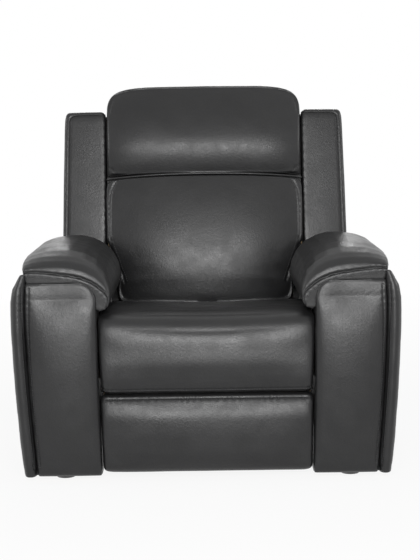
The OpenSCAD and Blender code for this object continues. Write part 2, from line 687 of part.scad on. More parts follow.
// Drives
gearbox_w = 60;
gearbox_h = 46;
saddle_len = 34;
module drive_rail(y0, saddle_y) {
    color(steel) difference() {
        union() {
            block([-rail_w / 2, y0, rail_z1 - rail_h], [rail_w / 2, y0 + rail_len, rail_z1]);
            block([-rail_w / 2, saddle_y - saddle_len / 2, cross_z - cross_d / 2 - link_t],
                [rail_w / 2, saddle_y + saddle_len / 2, rail_z1 - rail_h]);
        }
        rod_x(-rail_w, rail_w, cross_d, [saddle_y, cross_z]);
        for (x = [-1, 1])
            block([x * rail_w / 2 - link_t / 2, y0 - cut_over, rail_z1 - rail_h / 2 - link_t / 2],
                [x * rail_w / 2 + link_t / 2, y0 + rail_len + cut_over,
                    rail_z1 - rail_h / 2 + link_t / 2]);
    }
}
gearbox_z = rail_z1 - rail_h + strip_gap;
module gearbox(y0) {
    color(black) translate([0, y0 + gearbox_len / 2, gearbox_z]) linear_extrude(gearbox_h)
        polygon(rounded(oblong(gearbox_w, gearbox_len), 3 * link_t));
}
motor_cap_h = 12;
module motor(y0) {
    z0 = gearbox_z + gearbox_h;
    color(zinc) translate([0, y0 + gearbox_len / 2, z0]) rotate_extrude()
        polygon([[0, 0], [motor_d / 2, 0], [motor_d / 2, motor_len - motor_cap_h],
            [motor_d / 2 - link_t, motor_len - motor_cap_h],
            [motor_d / 2 - 2 * link_t, motor_len - link_t], [motor_d / 6, motor_len - link_t],
            [motor_d / 6, motor_len], [0, motor_len]]);
}
// The nose reaches toward its roller at y and the block slides on the rail
module push_block(nose_y, away, roller_z) {
    z0 = rail_z1 + seat_gap;
    z1 = roller_z + roller_d / 2;
    y1 = nose_y + away * nose_len;
    y2 = y1 + away * block_len;
    color(zinc) {
        block([-nose_w / 2, min(nose_y, y1 + away), z0 + link_t], [nose_w / 2,
            max(nose_y, y1 + away), z1]);
        block([-rail_w / 2 + strip_gap, min(y1, y2), z0],
            [rail_w / 2 - strip_gap, max(y1, y2), z1 - link_t]);
    }
}
leg_x = -drive_x;
back_x = drive_x;
leg_gearbox_y = leg_rail_y0 + rail_len;
back_rail_y0 = back_rail_y1 - rail_len;
back_gearbox_y = back_rail_y0 - gearbox_len;
module leg_rail() { translate([leg_x, 0, 0]) drive_rail(leg_rail_y0, cross_y[0]); }
module leg_gearbox() { translate([leg_x, 0, 0]) gearbox(leg_gearbox_y); }
module leg_motor() { translate([leg_x, 0, 0]) motor(leg_gearbox_y); }
module leg_push_block() { translate([leg_x, 0, 0]) push_block(leg_nose_y, 1, leg_roller_at[1]); }
module back_rail() { translate([back_x, 0, 0]) drive_rail(back_rail_y0, cross_y[1]); }
module back_gearbox() { translate([back_x, 0, 0]) gearbox(back_gearbox_y); }
module back_motor() { translate([back_x, 0, 0]) motor(back_gearbox_y); }
module back_push_block() {
    translate([back_x, 0, 0]) push_block(back_nose_y, -1, back_roller_at[1]);
}

// Power supply box on the rear cross tube, with its inlet
supply_x = 175;       // to the right of the middle of the seat
box_w = 104;
box_l = 80;
box_h = 34;
inlet_d = 11;
inlet_pin_d = 2.5;
inlet_depth = 12;
module control_box() {
    z0 = cross_z + cross_d / 2;
    y0 = cross_y[1] - box_l / 3;
    translate([supply_x, 0, 0]) color(black) {
        difference() {
            translate([0, y0 + box_l / 2, z0]) linear_extrude(box_h)
                polygon(rounded(oblong(box_w, box_l), 2 * link_t));
            translate([0, y0 + box_l + cut_over, z0 + box_h / 2]) rotate([90, 0, 0])
                cylinder(d = inlet_d, h = inlet_depth + cut_over);
        }
        translate([0, y0 + box_l - strip_gap, z0 + box_h / 2]) rotate([90, 0, 0])
            cylinder(d = inlet_pin_d, h = inlet_depth);
        difference() {
            block([-link_w / 2, cross_y[1] - cross_d / 2 - link_t, cross_z - cross_d / 2 - link_t],
                [link_w / 2, cross_y[1] + cross_d / 2 + link_t, z0]);
            rod_x(-link_w, link_w, cross_d, [cross_y[1], cross_z]);
        }
    }
}

// Hand control in the outer side of the left arm
control_at = [arm_y0 + control_in, control_z];
bezel_t = 26;
bezel_face_x = outer_x(control_z + bezel_h / 2) - 2 * seat_gap;
bezel_r = 8;
rocker_gap = 0.6;
rocker_side = 3;      // from the middle of the control to each rocker
rocker_t = 9;
rocker_axle_d = 3;
axle_end = 1.6;
axle_hole_end = 2;
rocker_proud = 1;
// Upper half of a rocker's side view: [share of its thickness, share of its height]
rocker_side_share = [[0.2, 0], [1, 0.94], [0.6, 1], [-0.5, 0.89], [-1, 0]];
rocker_lower_share = [[-0.5, -0.89], [0.6, -1], [1, -0.94]];
rocker_x = bezel_face_x - rocker_t / 2;
rocker_y = [control_at[0] - rocker_l / 2 - rocker_side,
    control_at[0] + rocker_l / 2 + rocker_side];
module bezel_pocket(gap) {
    along_x(bezel_face_x - bezel_t, half_w + cut_over)
        translate(control_at)
        polygon(rounded(oblong(bezel_l + 2 * gap, bezel_h + 2 * gap), bezel_r));
}
module switch_bezel() {
    well_t = rocker_t + 2 * link_t;
    color(black) on_side(-1) difference() {
        along_x(bezel_face_x - bezel_t, bezel_face_x) translate(control_at)
            polygon(rounded(oblong(bezel_l, bezel_h), bezel_r));
        for (y = rocker_y) {
            along_x(bezel_face_x - well_t, bezel_face_x + cut_over) translate([y, control_z])
                polygon(oblong(rocker_l + 2 * rocker_gap, rocker_h + 2 * rocker_gap));
            translate([rocker_x, y - rocker_l / 2 - axle_hole_end, control_z])
                rotate([-90, 0, 0])
                cylinder(d = rocker_axle_d + 2 * pin_clear, h = rocker_l + 2 * axle_hole_end);
        }
    }
}
// A rocker with a dished face and an axle along its middle
module rocker(y) {
    h = rocker_h / 2;
    x1 = rocker_t / 2 + rocker_proud;
    color(zinc) on_side(-1) translate([rocker_x, y, control_z]) {
        translate([0, rocker_l / 2, 0]) rotate([90, 0, 0]) linear_extrude(rocker_l)
            polygon([for (p = concat(rocker_side_share, rocker_lower_share)) [x1 * p[0], h * p[1]]]);
        translate([0, -rocker_l / 2 - axle_end, 0]) rotate([-90, 0, 0])
            cylinder(d = rocker_axle_d, h = rocker_l + 2 * axle_end);
    }
}
module leg_rocker() { rocker(rocker_y[0]); }
module back_rocker() { rocker(rocker_y[1]); }

// Link strips. Layer 1 lies next to the side plate, 2 and 3 further inboard.
link_waist = 1.2;     // how much narrower the bar of a strip is than its eyes, on each side
module strip(layer, a, b) {
    dir = unit(b - a);
    side = (link_w / 2 - link_waist) * [-dir[1], dir[0]];
    along_x(layer_x(layer), layer_x(layer) + link_t) union() {
        translate(a) circle(d = link_w);
        translate(b) circle(d = link_w);
        polygon([a + side, b + side, b - side, a - side]);
    }
}
module hole(layer, at, d) {
    rod_x(layer_x(layer) - cut_over, layer_x(layer) + link_t + cut_over, d, at);
}
// A rivet fixed in one strip, running in the next one inboard, with its head
rivet_head_t = 2;
module rivet(layer, at, d) {
    rod_x(layer_x(layer + 1) - seat_gap, layer_x(layer) + link_t, d, at);
    rod_x(layer_x(layer + 1) - seat_gap - rivet_head_t, layer_x(layer + 1) - seat_gap,
        d + 2 * link_t, at);
}
// A stub fixed in a strip of layer 1, running in the side plate
module stub(at, d) {
    rod_x(layer_x(1), plate_x1 - seat_gap, d, at);
}
run_hole = pin_d + 2 * pin_clear;
open_hole = pin_d + 2 * open_clear;
hub_w = 26;
module rear_link(s) {
    color(steel) on_side(s) {
        strip(1, drive_pivot, rear_joint);
        rod_x(layer_x(1), layer_x(1) + link_t, hub_w, drive_pivot);
        stub(drive_pivot, hub_pin_d);
        rivet(1, rear_joint, pin_d);
    }
}
module outer_link(s) {
    color(steel) on_side(s) {
        difference() {
            strip(2, rear_joint, bracket_joint);
            hole(2, rear_joint, run_hole);
            hole(2, cross_joint, open_hole);
        }
        rivet(2, bracket_joint, pin_d);
    }
}
module front_link(s) {
    color(steel) on_side(s) {
        strip(1, front_pivot, inner_joint);
        stub(front_pivot, pin_d);
        rivet(1, cross_joint, pin_d);
        rivet(1, inner_joint, pin_d);
    }
}
module inner_link(s) {
    color(steel) on_side(s) {
        difference() {
            strip(2, inner_joint, low_joint);
            hole(2, inner_joint, run_hole);
        }
        rivet(2, low_joint, pin_d);
    }
}

// Drive shaft of the footrest, with its lever and roller
module leg_torque_tube() {
    color(steel) difference() {
        rod_x(-layer_x(1), layer_x(1), torque_d, drive_pivot);
        rod_x(-layer_x(1) - cut_over, layer_x(1) + cut_over, torque_d - link_t, drive_pivot);
    }
}
roller_pin_d = 8;
cheek_w = 16;
module lever(x, at, roller_at) {
    dir = unit(roller_at - at);
    turn = [-dir[1], dir[0]];
    for (k = [-1, 1]) {
        x0 = x + k * (fork_gap + link_t) / 2 - link_t / 2;
        difference() {
            union() {
                rod_x(x0, x0 + link_t, torque_d + 2 * link_t, at);
                rod_x(x0, x0 + link_t, cheek_w, roller_at);
                along_x(x0, x0 + link_t) polygon([at + turn * cheek_w / 2,
                    roller_at + turn * cheek_w / 2, roller_at - turn * cheek_w / 2,
                    at - turn * cheek_w / 2]);
            }
            rod_x(x0 - cut_over, x0 + link_t + cut_over, torque_d, at);
        }
    }
    rod_x(x - fork_gap / 2 - link_t, x + fork_gap / 2 + link_t, roller_pin_d, roller_at);
}
module roller(x, at) {
    difference() {
        rod_x(x - fork_gap / 2 + strip_gap / 2, x + fork_gap / 2 - strip_gap / 2, roller_d, at);
        rod_x(x - fork_gap, x + fork_gap, roller_pin_d + 2 * pin_clear, at);
    }
}
module leg_lever() { color(steel) lever(leg_x, drive_pivot, leg_roller_at); }
module leg_roller() { color(black) roller(leg_x, leg_roller_at); }

// Footrest
rest_gap = 4;         // between the footrest and the seat front
rest_z0 = body_z;
rest_z1 = seat_seam_z - rest_gap;
rest_half = inner_x(body_z) - side_gap;
rest_back_y = front_y + rest_pad_t;
board_back_y = rest_back_y + rest_board_t;
board_in = 5;         // how far the footrest board stays inside its pad
module footrest_board() {
    color(timber) along_y(rest_back_y, board_back_y)
        translate([0, (rest_z0 + rest_z1) / 2])
        polygon(rounded(oblong(2 * (rest_half - board_in), rest_z1 - rest_z0 - board_in),
            2 * board_in));
}
tab_w = 34;
bracket_w = 22;
module footrest_bracket(s) {
    x0 = layer_x(3);
    w = bracket_w;
    color(steel) on_side(s) difference() {
        union() {
            along_x(x0, x0 + link_t) polygon(rounded([
                [board_back_y, bracket_joint[1] + w / 2], bracket_joint + [w / 2, w / 2],
                low_joint + [w / 2, 0], low_joint + [0, -w / 2],
                [board_back_y, low_joint[1] - 2 * w]], link_w / 3));
            block([x0 - tab_w, board_back_y, low_joint[1] - 4 * w],
                [x0 + link_t, board_back_y + link_t, bracket_joint[1] + w / 2]);
        }
        hole(3, bracket_joint, run_hole);
        hole(3, low_joint, open_hole);
        for (z = [low_joint[1] - 3 * w, low_joint[1] - w / 2])
            translate([x0 - tab_w / 2, board_back_y - cut_over, z]) rotate([-90, 0, 0])
                cylinder(d = bolt_d / 2, h = link_t + 2 * cut_over);
    }
}
// Side view of the footrest pad: [share of its thickness, share of its height]
rest_profile_share = [[0, 0.02], [0.35, 0], [0.72, 0.015], [0.93, 0.09], [0.985, 0.26],
    [1, 0.5], [0.985, 0.76], [0.92, 0.91], [0.72, 0.985], [0.35, 1], [0, 0.98]];
function rest_profile() = [for (p = rest_profile_share)
    [lerp(rest_back_y - seat_gap, front_y, p[0]), lerp(rest_z0, rest_z1, p[1])]];
module footrest_pad() {
    base = rest_profile();
    rings = [for (a = stations)
        [for (p = drawn_in(base, a[1] * seat_side_r)) [a[0] * rest_half, p[0], p[1]]]];
    color(leather) skin(rings, middle(rings[0]), middle(rings[len(rings) - 1]));
}

// Backrest, drawn upright about its hinge: x across, t to the rear, s upward
rear_t = (overall_d / 2 - hinge_y - rear_top_s * sin(back_lean)) / cos(back_lean);
spring_t = -36;       // front face of the backrest frame
cover_t0 = spring_t;
low_half = inner_x(hinge_z) - swing_gap;
wing_half = wing_span / 2;
wing_in = head_w / 2 + strip_gap;
cover_low_s = 50;
sheet_low_s = -60;
cover_r = 26;
top_half = head_w / 2 - cover_r;
lumbar_sink = 14;     // how far the lower back cushion goes down behind the seat cushion
lumbar_low_s = (seat_top_z - lumbar_sink - hinge_z - lumbar_face_t * sin(back_lean))
    / cos(back_lean);
function cover_outline(d) = rounded([
    [-low_half + d, cover_low_s + d], [low_half - d, cover_low_s + d],
    [low_half - d, wing_low_s + d], [wing_half - d, wing_low_s + d],
    [wing_half - wing_draw - d, wing_top_s - d], [top_half - d, wing_top_s - d],
    [top_half - d, rear_top_s - d], [-top_half + d, rear_top_s - d],
    [-top_half + d, wing_top_s - d], [-wing_half + wing_draw + d, wing_top_s - d],
    [-wing_half + d, wing_low_s + d], [-low_half + d, wing_low_s + d]], cover_r - d / 2);
module back_outer_panel() {
    color(leather_side) leaning() {
        difference() {
            along_y(cover_t0, rear_t) polygon(cover_outline(0));
            along_y(cover_t0 - cut_over, rear_t - panel_t) polygon(cover_outline(panel_t));
            for (k = [-1, 1]) on_side(k)
                block([post_out_x - seat_gap, -strap_w / 2 - seat_gap, cover_low_s - cut_over],
                    [post_out_x + strap_t + seat_gap, strap_w / 2 + seat_gap,
                        cover_low_s + cover_r]);
        }
        along_y(rear_t - panel_t, rear_t)
            polygon([[-low_half + 2 * panel_t, sheet_low_s], [low_half - 2 * panel_t, sheet_low_s],
                [low_half - 2 * panel_t, cover_low_s + cut_over],
                [-low_half + 2 * panel_t, cover_low_s + cut_over]]);
    }
}
post_side = 17;       // room between a side plate and its backrest post
post_out_x = plate_x0 - post_side;
post_in_x = post_out_x - board_t;
post_t1 = 60;
rail_s_share = [0.02, 0.5, 0.95];
post_hole_share = [0.3, 0.46, 0.62, 0.78];
module back_frame() {
    s0 = cover_low_s + 2 * panel_t;
    s1 = rear_top_s - 2 * panel_t;
    color(timber) leaning() difference() {
        union() {
            for (k = [-1, 1])
                block([k > 0 ? post_in_x : -post_out_x, spring_t, s0],
                    [k > 0 ? post_out_x : -post_in_x, post_t1, s1]);
            for (w = rail_s_share)
                block([-post_in_x - cut_over, spring_t, lerp(s0, s1, w)],
                    [post_in_x + cut_over, spring_t + 2 * board_t, lerp(s0, s1, w) + board_t]);
            for (s = [wing_low_s + 2 * panel_t, wing_top_s - 2 * panel_t - board_t],
                k = [-1, 1])
                block([k > 0 ? post_out_x - cut_over : -wing_half + 3 * panel_t, spring_t, s],
                    [k > 0 ? wing_half - 3 * panel_t : -post_out_x + cut_over,
                        spring_t + 2 * board_t, s + board_t]);
        }
        for (w = post_hole_share)
            rod_x(-post_out_x - cut_over, post_out_x + cut_over, 2 * board_t,
                [(spring_t + post_t1) / 2 + board_t / 2, lerp(s0, s1, w)]);
    }
}
back_springs_share = [0.2, 0.34, 0.62, 0.78];
module back_springs() {
    length = 2 * post_in_x + board_t;
    color(zinc) leaning() for (w = back_springs_share)
        translate([-length / 2, spring_t - spring_wire / 2, lerp(cover_low_s, rear_top_s, w)])
            rotate([90, 0, 0]) sinuous(length);
}

// Cushions of the backrest: [share of the outline, share of the depth]
lumbar_levels_share = [[0.945, 0], [0.955, 0.36], [1, 0.52], [0.99, 0.66], [0.955, 0.79],
    [0.87, 0.9], [0.7, 0.965], [0.4, 0.995]];
head_levels_share = [[0.95, 0], [0.99, 0.3], [1, 0.5], [0.99, 0.64], [0.955, 0.78],
    [0.87, 0.89], [0.7, 0.96], [0.4, 0.995]];
cushion_back_t = spring_t - spring_wire - seat_gap;
seam_gap = 1;
lumbar_widen_share = [0.8, 1.16];
lumbar_middle_share = 0.28;
function narrowed(p) = let (w = lumbar_widen_share * wing_low_s)
    [p[0] * lerp(lumbar_low_w / lumbar_w, 1, ease((p[1] - w[0]) / (w[1] - w[0]))), p[1]];
module lumbar_cushion() {
    outline = [for (p = soft_outline(lumbar_w / 2, lumbar_low_s, back_seam_s - seam_gap, 9))
        narrowed(p)];
    centre = [0, lerp(lumbar_low_s, back_seam_s, lumbar_middle_share)];
    color(leather) leaning() pillow(outline, centre,
        [for (l = lumbar_levels_share) [l[0], lerp(cushion_back_t, -lumbar_face_t, l[1])]]);
}
// The headrest is as tall as lets its highest level just reach the overall height
head_middle_share = 0.36;
head_middle_s = lerp(back_seam_s, rear_top_s, head_middle_share);
function head_depth(w) = lerp(cushion_back_t, -head_face_t, w);
head_top_s = head_middle_s + min([for (l = head_levels_share)
    ((overall_h - hinge_z + head_depth(l[1]) * sin(back_lean)) / cos(back_lean) - head_middle_s)
        / l[0]]);
module headrest_cushion() {
    outline = soft_outline(head_w / 2, back_seam_s, head_top_s, 6);
    color(leather) leaning() pillow(outline, [0, head_middle_s],
        [for (l = head_levels_share) [l[0], head_depth(l[1])]]);
}
wing_soft_share = 0.1;
wing_draw = 9;        // how far a wing's outer edge draws in toward its top
function wing_drawn(p) = let (w = (p[1] - wing_low_s) / (wing_top_s - wing_low_s))
    p[0] > 0 ? [p[0] - wing_draw * w, p[1]] : p;
wing_levels_share = [[0.97, 0], [1, 0.12], [1, 0.7], [0.985, 0.9], [0.95, 0.97], [0.85, 1]];
module wing(k) {
    half = (wing_half - wing_in) / 2;
    middle_x = (wing_half + wing_in) / 2;
    outline = [for (p = soft_outline(half, wing_low_s, wing_top_s, 14))
        wing_drawn(p) + [middle_x, 0]];
    color(leather) leaning() on_side(k)
        pillow(outline, [middle_x, (wing_low_s + wing_top_s) / 2],
            [for (l = wing_levels_share) [l[0], lerp(cover_t0 - seat_gap, -wing_face_t, l[1])]],
            wing_soft_share);
}

// Hinges: a strap on each post with a pin in the side plate
strap_w = 44;
strap_t = 6;
strap_s1 = 190;
module back_hinges() {
    color(steel) leaning() for (k = [-1, 1]) on_side(k) {
        x0 = post_out_x;
        along_x(x0, x0 + strap_t)
            polygon(rounded([[-strap_w / 2, -strap_w / 2], [strap_w / 2, -strap_w / 2],
                [strap_w / 2, strap_s1], [-strap_w / 2, strap_s1]], strap_w / 3));
        rod_x(x0 + strap_t, plate_x0 - seat_gap, hub_pin_d + 2 * link_t, [0, 0]);
        rod_x(x0 + strap_t, plate_x1 - seat_gap, hub_pin_d, [0, 0]);
    }
}
module back_lever() {
    color(steel) {
        difference() {
            rod_x(-post_out_x, post_out_x, torque_d, hinge_at);
            rod_x(-post_out_x - cut_over, post_out_x + cut_over, torque_d - link_t, hinge_at);
        }
        lever(back_x, hinge_at, back_roller_at);
    }
}
module back_roller() { color(black) roller(back_x, back_roller_at); }

feet();
arm_frame(-1);  // arm_frame_left
arm_frame(1);  // arm_frame_right
arm_front_panel(-1);  // arm_front_panel_left
arm_front_panel(1);  // arm_front_panel_right
arm_outer_panel(-1);  // arm_outer_panel_left
arm_outer_panel(1);  // arm_outer_panel_right
arm_front_roll(-1);  // arm_front_roll_left
arm_front_roll(1);  // arm_front_roll_right
arm_inner_panel(-1);  // arm_inner_panel_left
arm_inner_panel(1);  // arm_inner_panel_right
arm_pad(-1);  // arm_pad_left
arm_pad(1);  // arm_pad_right
base_rear_panel();
cross_tubes();
side_plate(-1);  // side_plate_left
side_plate(1);  // side_plate_right
plate_bolts();
seat_frame();
seat_springs();
seat_cushion();
leg_motor();
leg_gearbox();
leg_rail();
back_motor();
back_gearbox();
back_rail();
control_box();
switch_bezel();
leg_rocker();
back_rocker();
leg_torque_tube();
rear_link(-1);  // rear_link_left
rear_link(1);  // rear_link_right
leg_lever();
leg_roller();
outer_link(-1);  // outer_link_left
outer_link(1);  // outer_link_right
front_link(-1);  // front_link_left
front_link(1);  // front_link_right
inner_link(-1);  // inner_link_left
inner_link(1);  // inner_link_right
footrest_board();
footrest_bracket(-1);  // footrest_bracket_left
footrest_bracket(1);  // footrest_bracket_right
footrest_pad();
leg_push_block();
back_push_block();
back_frame();
back_springs();
lumbar_cushion();
headrest_cushion();
wing(-1);  // wing_left
wing(1);  // wing_right
back_outer_panel();
back_hinges();
back_lever();
back_roller();
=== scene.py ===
"""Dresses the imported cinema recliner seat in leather, thread, timber, steel and plastic.

Left is the -X side and the front of the seat faces -Y. All lengths are in metres.
"""
import json
import math
from collections import namedtuple

import bmesh
import bpy
import numpy as np
from mathutils import Matrix, Vector, noise
from mathutils.bvhtree import BVHTree
from mathutils.kdtree import KDTree


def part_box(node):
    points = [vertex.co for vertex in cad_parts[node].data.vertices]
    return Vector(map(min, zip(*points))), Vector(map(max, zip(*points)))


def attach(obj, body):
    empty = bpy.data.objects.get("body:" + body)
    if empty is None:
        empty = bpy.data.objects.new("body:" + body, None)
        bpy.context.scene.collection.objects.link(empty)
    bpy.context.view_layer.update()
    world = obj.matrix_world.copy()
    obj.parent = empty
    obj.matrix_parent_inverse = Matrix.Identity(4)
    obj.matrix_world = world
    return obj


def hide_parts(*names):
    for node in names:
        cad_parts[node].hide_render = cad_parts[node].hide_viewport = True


bl_info = {
    "name": "Cinema recliner seat",
    "version": (1, 0, 0),
    "blender": (4, 5, 0),
    "location": "View3D > Sidebar > Recliner",
    "description": "Upholstery, stitching, frame finishes and studio for a power recliner seat",
    "category": "Object",
}

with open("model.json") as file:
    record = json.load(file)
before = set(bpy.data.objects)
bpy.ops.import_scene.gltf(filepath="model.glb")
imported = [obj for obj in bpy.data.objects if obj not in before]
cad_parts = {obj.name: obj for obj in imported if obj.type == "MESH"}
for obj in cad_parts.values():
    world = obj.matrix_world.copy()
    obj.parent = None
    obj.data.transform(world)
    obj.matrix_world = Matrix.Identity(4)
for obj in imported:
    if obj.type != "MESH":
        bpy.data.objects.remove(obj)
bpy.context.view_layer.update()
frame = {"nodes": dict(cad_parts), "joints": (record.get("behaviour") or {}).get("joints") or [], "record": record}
SIDES = (("left", -1), ("right", 1))
HINGE = next(Vector(j["pos_m"]) for j in frame["joints"] if j["name"] == "back_recline")


class LeatherSettings(bpy.types.PropertyGroup):
    """Colours and grain of the leather and of its thread."""
    hide: bpy.props.FloatVectorProperty(
        name="Hide", description="Colour of the leather", subtype="COLOR", size=3,
        default=(0.017, 0.017, 0.0175), min=0, max=1)
    hide_dark: bpy.props.FloatVectorProperty(
        name="Hide, dark", description="Colour of the darker patches", subtype="COLOR", size=3,
        default=(0.012, 0.012, 0.0125), min=0, max=1)
    hide_worn: bpy.props.FloatVectorProperty(
        name="Hide, worn", description="Colour along rubbed edges", subtype="COLOR", size=3,
        default=(0.036, 0.036, 0.036), min=0, max=1)
    thread: bpy.props.FloatVectorProperty(
        name="Thread", description="Colour of the stitching", subtype="COLOR", size=3,
        default=(0.085, 0.085, 0.087), min=0, max=1)
    pebble: bpy.props.FloatProperty(
        name="Pebble size", description="Width of one pebble of the grain", unit="LENGTH",
        default=0.0016, min=0.0005, max=0.004)
    roughness: bpy.props.FloatProperty(
        name="Roughness", description="Mean roughness of the hide", default=0.36, min=0.2, max=0.8)


class CushionSettings(bpy.types.PropertyGroup):
    """How the padded pieces are filled and sewn."""
    voxel: bpy.props.FloatProperty(
        name="Mesh size", description="Edge of the cushion mesh before it is filled",
        unit="LENGTH", default=0.006, min=0.004, max=0.012)
    pressure: bpy.props.FloatProperty(
        name="Pressure", description="Pressure of the filling", default=3.5, min=0, max=10)
    swell: bpy.props.FloatProperty(
        name="Swell", description="Most that a cushion's skin may go out", unit="LENGTH",
        default=0.009, min=0.002, max=0.03)
    wrinkle: bpy.props.FloatProperty(
        name="Wrinkles", description="Share of the filled skin's wrinkles that is kept",
        default=0.12, min=0, max=1)
    seam_w: bpy.props.FloatProperty(
        name="Seam width", description="Half width of the groove at a seam", unit="LENGTH",
        default=0.0045, min=0.002, max=0.01)
    seam_depth: bpy.props.FloatProperty(
        name="Seam depth", description="Depth of the groove at a seam", unit="LENGTH",
        default=0.003, min=0, max=0.006)
    gather: bpy.props.FloatProperty(
        name="Gather", description="Height of the small puckers beside a seam", unit="LENGTH",
        default=0.0004, min=0, max=0.003)
    stitch: bpy.props.FloatProperty(
        name="Stitch length", description="Visible length of one stitch", unit="LENGTH",
        default=0.0042, min=0.002, max=0.01)
    stitch_pitch: bpy.props.FloatProperty(
        name="Stitch pitch", description="Distance from one stitch to the next", unit="LENGTH",
        default=0.0066, min=0.003, max=0.012)
    thread_d: bpy.props.FloatProperty(
        name="Thread diameter", description="Thickness of the thread", unit="LENGTH",
        default=0.0012, min=0.0005, max=0.002)
    piping_d: bpy.props.FloatProperty(
        name="Piping diameter", description="Thickness of the welt in a seam", unit="LENGTH",
        default=0.004, min=0.002, max=0.008)


class StudioSettings(bpy.types.PropertyGroup):
    """Floor, lamps and camera."""
    floor: bpy.props.FloatVectorProperty(
        name="Floor", description="Colour of the floor", subtype="COLOR", size=3,
        default=(0.86, 0.86, 0.86), min=0, max=1)
    key_power: bpy.props.FloatProperty(
        name="Key lamp", description="Power of the large front lamp", subtype="POWER",
        default=96, min=0, max=2000)
    fill_power: bpy.props.FloatProperty(
        name="Side lamps", description="Power of each side lamp", subtype="POWER",
        default=20, min=0, max=2000)
    sky: bpy.props.FloatProperty(
        name="Sky", description="Strength of the plain light from all round", default=0.22,
        min=0, max=2)
    camera_y: bpy.props.FloatProperty(
        name="Camera distance", description="Distance of the camera ahead of the seat's middle",
        unit="LENGTH", default=4.49, min=2, max=12)
    camera_z: bpy.props.FloatProperty(
        name="Camera height", description="Height of the camera above the floor", unit="LENGTH",
        default=0.97, min=0.2, max=2.5)


def setting(group):
    """The settings group of that name on the current scene."""
    return getattr(bpy.context.scene, group)


# Meshes

def linked(name, mesh):
    """A new object with that mesh, in the scene."""
    piece = bpy.data.objects.new(name, mesh)
    bpy.context.scene.collection.objects.link(piece)
    return piece


def made(name, points, faces):
    """A smooth-shaded piece from points and faces."""
    mesh = bpy.data.meshes.new(name)
    mesh.from_pydata([tuple(p) for p in points], [], faces)
    mesh.validate()
    mesh.update()
    mesh.shade_smooth()
    return linked(name, mesh)


def coords(piece):
    """The points of a piece, one row each."""
    co = np.empty(len(piece.data.vertices) * 3)
    piece.data.vertices.foreach_get("co", co)
    return co.reshape(-1, 3)


def set_coords(piece, co):
    piece.data.vertices.foreach_set("co", np.ascontiguousarray(co, dtype=float).ravel())
    piece.data.update()


def normals(piece):
    no = np.empty(len(piece.data.vertices) * 3)
    piece.data.vertices.foreach_get("normal", no)
    return no.reshape(-1, 3)


def applied(piece):
    """Bakes the modifiers of a piece into its mesh."""
    graph = bpy.context.evaluated_depsgraph_get()
    mesh = bpy.data.meshes.new_from_object(piece.evaluated_get(graph))
    old = piece.data
    piece.modifiers.clear()
    piece.data = mesh
    bpy.data.meshes.remove(old)
    mesh.shade_smooth()
    return piece


def copy_of(node, name):
    """A new piece with the shape of a CAD node, its split corners joined again."""
    mesh = frame["nodes"][node].data.copy()
    mesh.name = name
    mesh.materials.clear()
    joined = bmesh.new()
    joined.from_mesh(mesh)
    bmesh.ops.remove_doubles(joined, verts=joined.verts, dist=1e-5)
    bmesh.ops.dissolve_limit(joined, angle_limit=0.002, verts=joined.verts, edges=joined.edges)
    joined.to_mesh(mesh)
    joined.free()
    return linked(name, mesh)


SMOOTHING = (0.5, -0.515)      # in, and out again a little further, so that the size stays
ROUNDS = {"seat": 60, "footrest": 40, "back": 26, "wing": 14, "arm_pad": 16, "arm_front": 12,
          "arm_roll": 8}       # of smoothing, for each kind of piece
FINE = {"wing": 0.005, "arm_pad": 0.005, "arm_front": 0.0045, "arm_roll": 0.0035}   # mesh sizes


def remeshed(node_name, name, kind):
    """A CAD node's form as a piece of even faces, smoothed at full size."""
    piece = copy_of(node_name, name)
    grid = piece.modifiers.new("Grid", "REMESH")
    grid.mode = "VOXEL"
    grid.voxel_size = FINE.get(kind, setting("recliner_cushions").voxel)
    applied(piece)
    mean = neighbour_mean(piece)
    co = coords(piece)
    for _ in range(ROUNDS[kind]):
        for step in SMOOTHING:
            co += step * (np.stack([mean(co[:, k]) for k in range(3)], axis=1) - co)
    set_coords(piece, co)
    return piece


def refined(piece):
    """Splits each face once, with a smooth surface."""
    split = piece.modifiers.new("Split", "SUBSURF")
    split.levels = split.render_levels = 1
    return applied(piece)


def mirrored(piece, name):
    """The same piece on the other side of the seat."""
    mesh = piece.data.copy()
    mesh.name = name
    mesh.transform(Matrix.Scale(-1, 4, (1, 0, 0)))
    mesh.flip_normals()
    return linked(name, mesh)


def shifted(piece, amount):
    """Moves each point along its own normal by an amount in metres."""
    set_coords(piece, coords(piece) + normals(piece) * np.reshape(amount, (-1, 1)))


def neighbour_mean(piece):
    """A function that gives, for a value per point, the mean of each point's neighbours."""
    edges = np.empty(len(piece.data.edges) * 2, dtype=np.int64)
    piece.data.edges.foreach_get("vertices", edges)
    a, b = edges.reshape(-1, 2).T
    count = len(piece.data.vertices)
    near = np.maximum(np.bincount(edges, minlength=count), 1)
    return lambda values: (np.bincount(a, values[b], count)
                           + np.bincount(b, values[a], count)) / near


def evened(piece, values, rounds):
    """A value per point, averaged with its neighbours a number of times."""
    mean = neighbour_mean(piece)
    for _ in range(rounds):
        values = 0.5 * values + 0.5 * mean(values)
    return values


CLOTH = {"use_pressure": True, "quality": 4, "tension_stiffness": 12,
         "compression_stiffness": 12, "bending_stiffness": 0.6}
FILL_STEPS = 20


